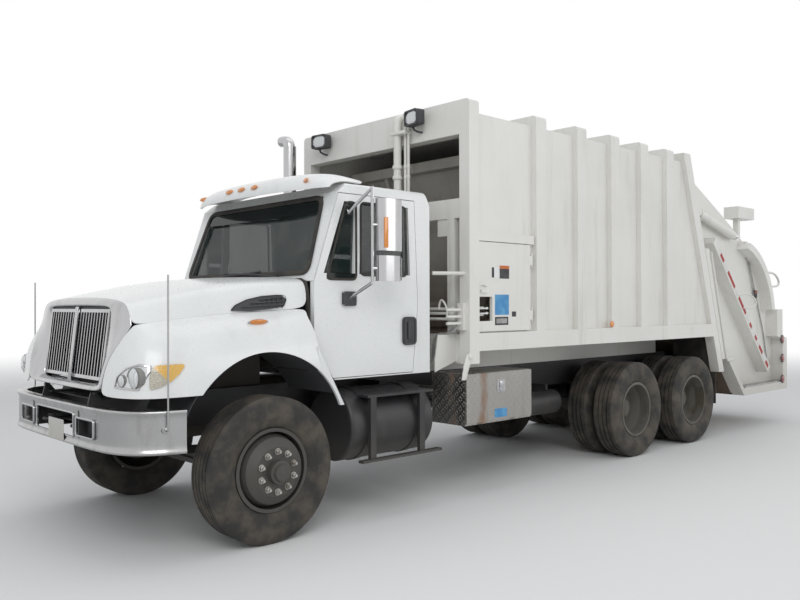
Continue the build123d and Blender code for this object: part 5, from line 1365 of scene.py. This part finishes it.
studio = {
    "floor": (0.82, 0.82, 0.81), "floorHalf": 60.0, "fadeFrom": 9.0, "fadeTo": 24.0,
    "skyLight": 0.55, "skyColour": (0.93, 0.96, 1.0),
    "lamps": (  # name, place, target, size, power
        ("key", (10, 9, 9), (1, 0, 1.2), (8, 6), 520),
        ("fill", (-6, 12, 5), (-1, 0, 1.5), (9, 5), 220),
        ("top", (0, 0, 12), (0, 0, 0), (14, 8), 220),
    ),
}
view = {
    "place": (7.189, 6.008, 1.712), "yaw": -133.056, "pitch": 0.291, "roll": -0.167, "lens": 36.411,
}


def camRays(f):
    # The rays that show the background: straight, mirrored or through glass
    paths = f.add("ShaderNodeLightPath")
    rays = paths.out("Is Camera Ray")
    for name in ("Is Glossy Ray", "Is Transmission Ray"):
        rays = f.add("ShaderNodeMath", {"operation": "MAXIMUM"}, {0: rays, 1: paths.out(name)})
    return rays


def makeFloor():
    clearPick()
    bpy.ops.mesh.primitive_plane_add(size=2 * studio["floorHalf"], location=(0, 0, 0))
    floor = bpy.context.object
    floor.name = "floor"
    f = Finish("floorPale")
    x, y = f.axis("X"), f.axis("Y")
    reach = f.add("ShaderNodeMath", {"operation": "SQRT"}, {0: x * x + y * y})
    far = f.fade(reach, studio["fadeFrom"], studio["fadeTo"])
    f.finish(Base_Color=studio["floor"], Roughness=0.9)
    glow = f.add("ShaderNodeEmission", None, {"Color": (1, 1, 1, 1), "Strength": 1.0})
    blend = f.add("ShaderNodeMixShader", None, {0: far * camRays(f), 1: Wire(f, f.shader.outputs[0]), 2: glow})
    f.tree.links.new(blend.socket, f.tree.nodes["Material Output"].inputs["Surface"])
    floor.data.materials.append(f.material)


def makeWorld():
    world = bpy.data.worlds.new("studio")
    world.use_nodes = True
    bpy.context.scene.world = world
    f = Finish.__new__(Finish)
    f.tree = world.node_tree
    plain = f.tree.nodes["Background"]
    plain.inputs["Color"].default_value = (*studio["skyColour"], 1)
    plain.inputs["Strength"].default_value = studio["skyLight"]
    white = f.add("ShaderNodeBackground", None, {"Color": (1, 1, 1, 1), "Strength": 1.0})
    blend = f.add("ShaderNodeMixShader", None, {0: camRays(f), 1: Wire(f, plain.outputs[0]), 2: white})
    f.tree.links.new(blend.socket, f.tree.nodes["World Output"].inputs["Surface"])


def makeLamp(name, place, target, size, power):
    lamp = bpy.data.lights.new(name, "AREA")
    lamp.shape = "RECTANGLE"
    lamp.size, lamp.size_y = size
    lamp.energy = power
    holder = bpy.data.objects.new(name, lamp)
    bpy.context.collection.objects.link(holder)
    holder.location = place
    holder.rotation_euler = (Vector(target) - Vector(place)).to_track_quat("-Z", "Y").to_euler()


def makeCamera():
    camera = bpy.data.objects.new("camera", bpy.data.cameras.new("camera"))
    bpy.context.collection.objects.link(camera)
    camera.data.sensor_width = 36
    camera.data.sensor_fit = "HORIZONTAL"
    camera.data.lens = view["lens"]
    camera.data.clip_end = 300
    turn = Matrix.Rotation(math.radians(view["yaw"] - 90), 4, "Z")
    tilt = Matrix.Rotation(math.radians(90 + view["pitch"]), 4, "X")
    roll = Matrix.Rotation(math.radians(view["roll"]), 4, "Z")
    camera.rotation_euler = (turn @ tilt @ roll).to_euler()
    camera.location = view["place"]
    bpy.context.scene.camera = camera


makeFloor()
makeWorld()
for lampRow in studio["lamps"]:
    makeLamp(*lampRow)
makeCamera()
bpy.context.scene.view_settings.view_transform = "Standard"
print("floor, light and camera placed")
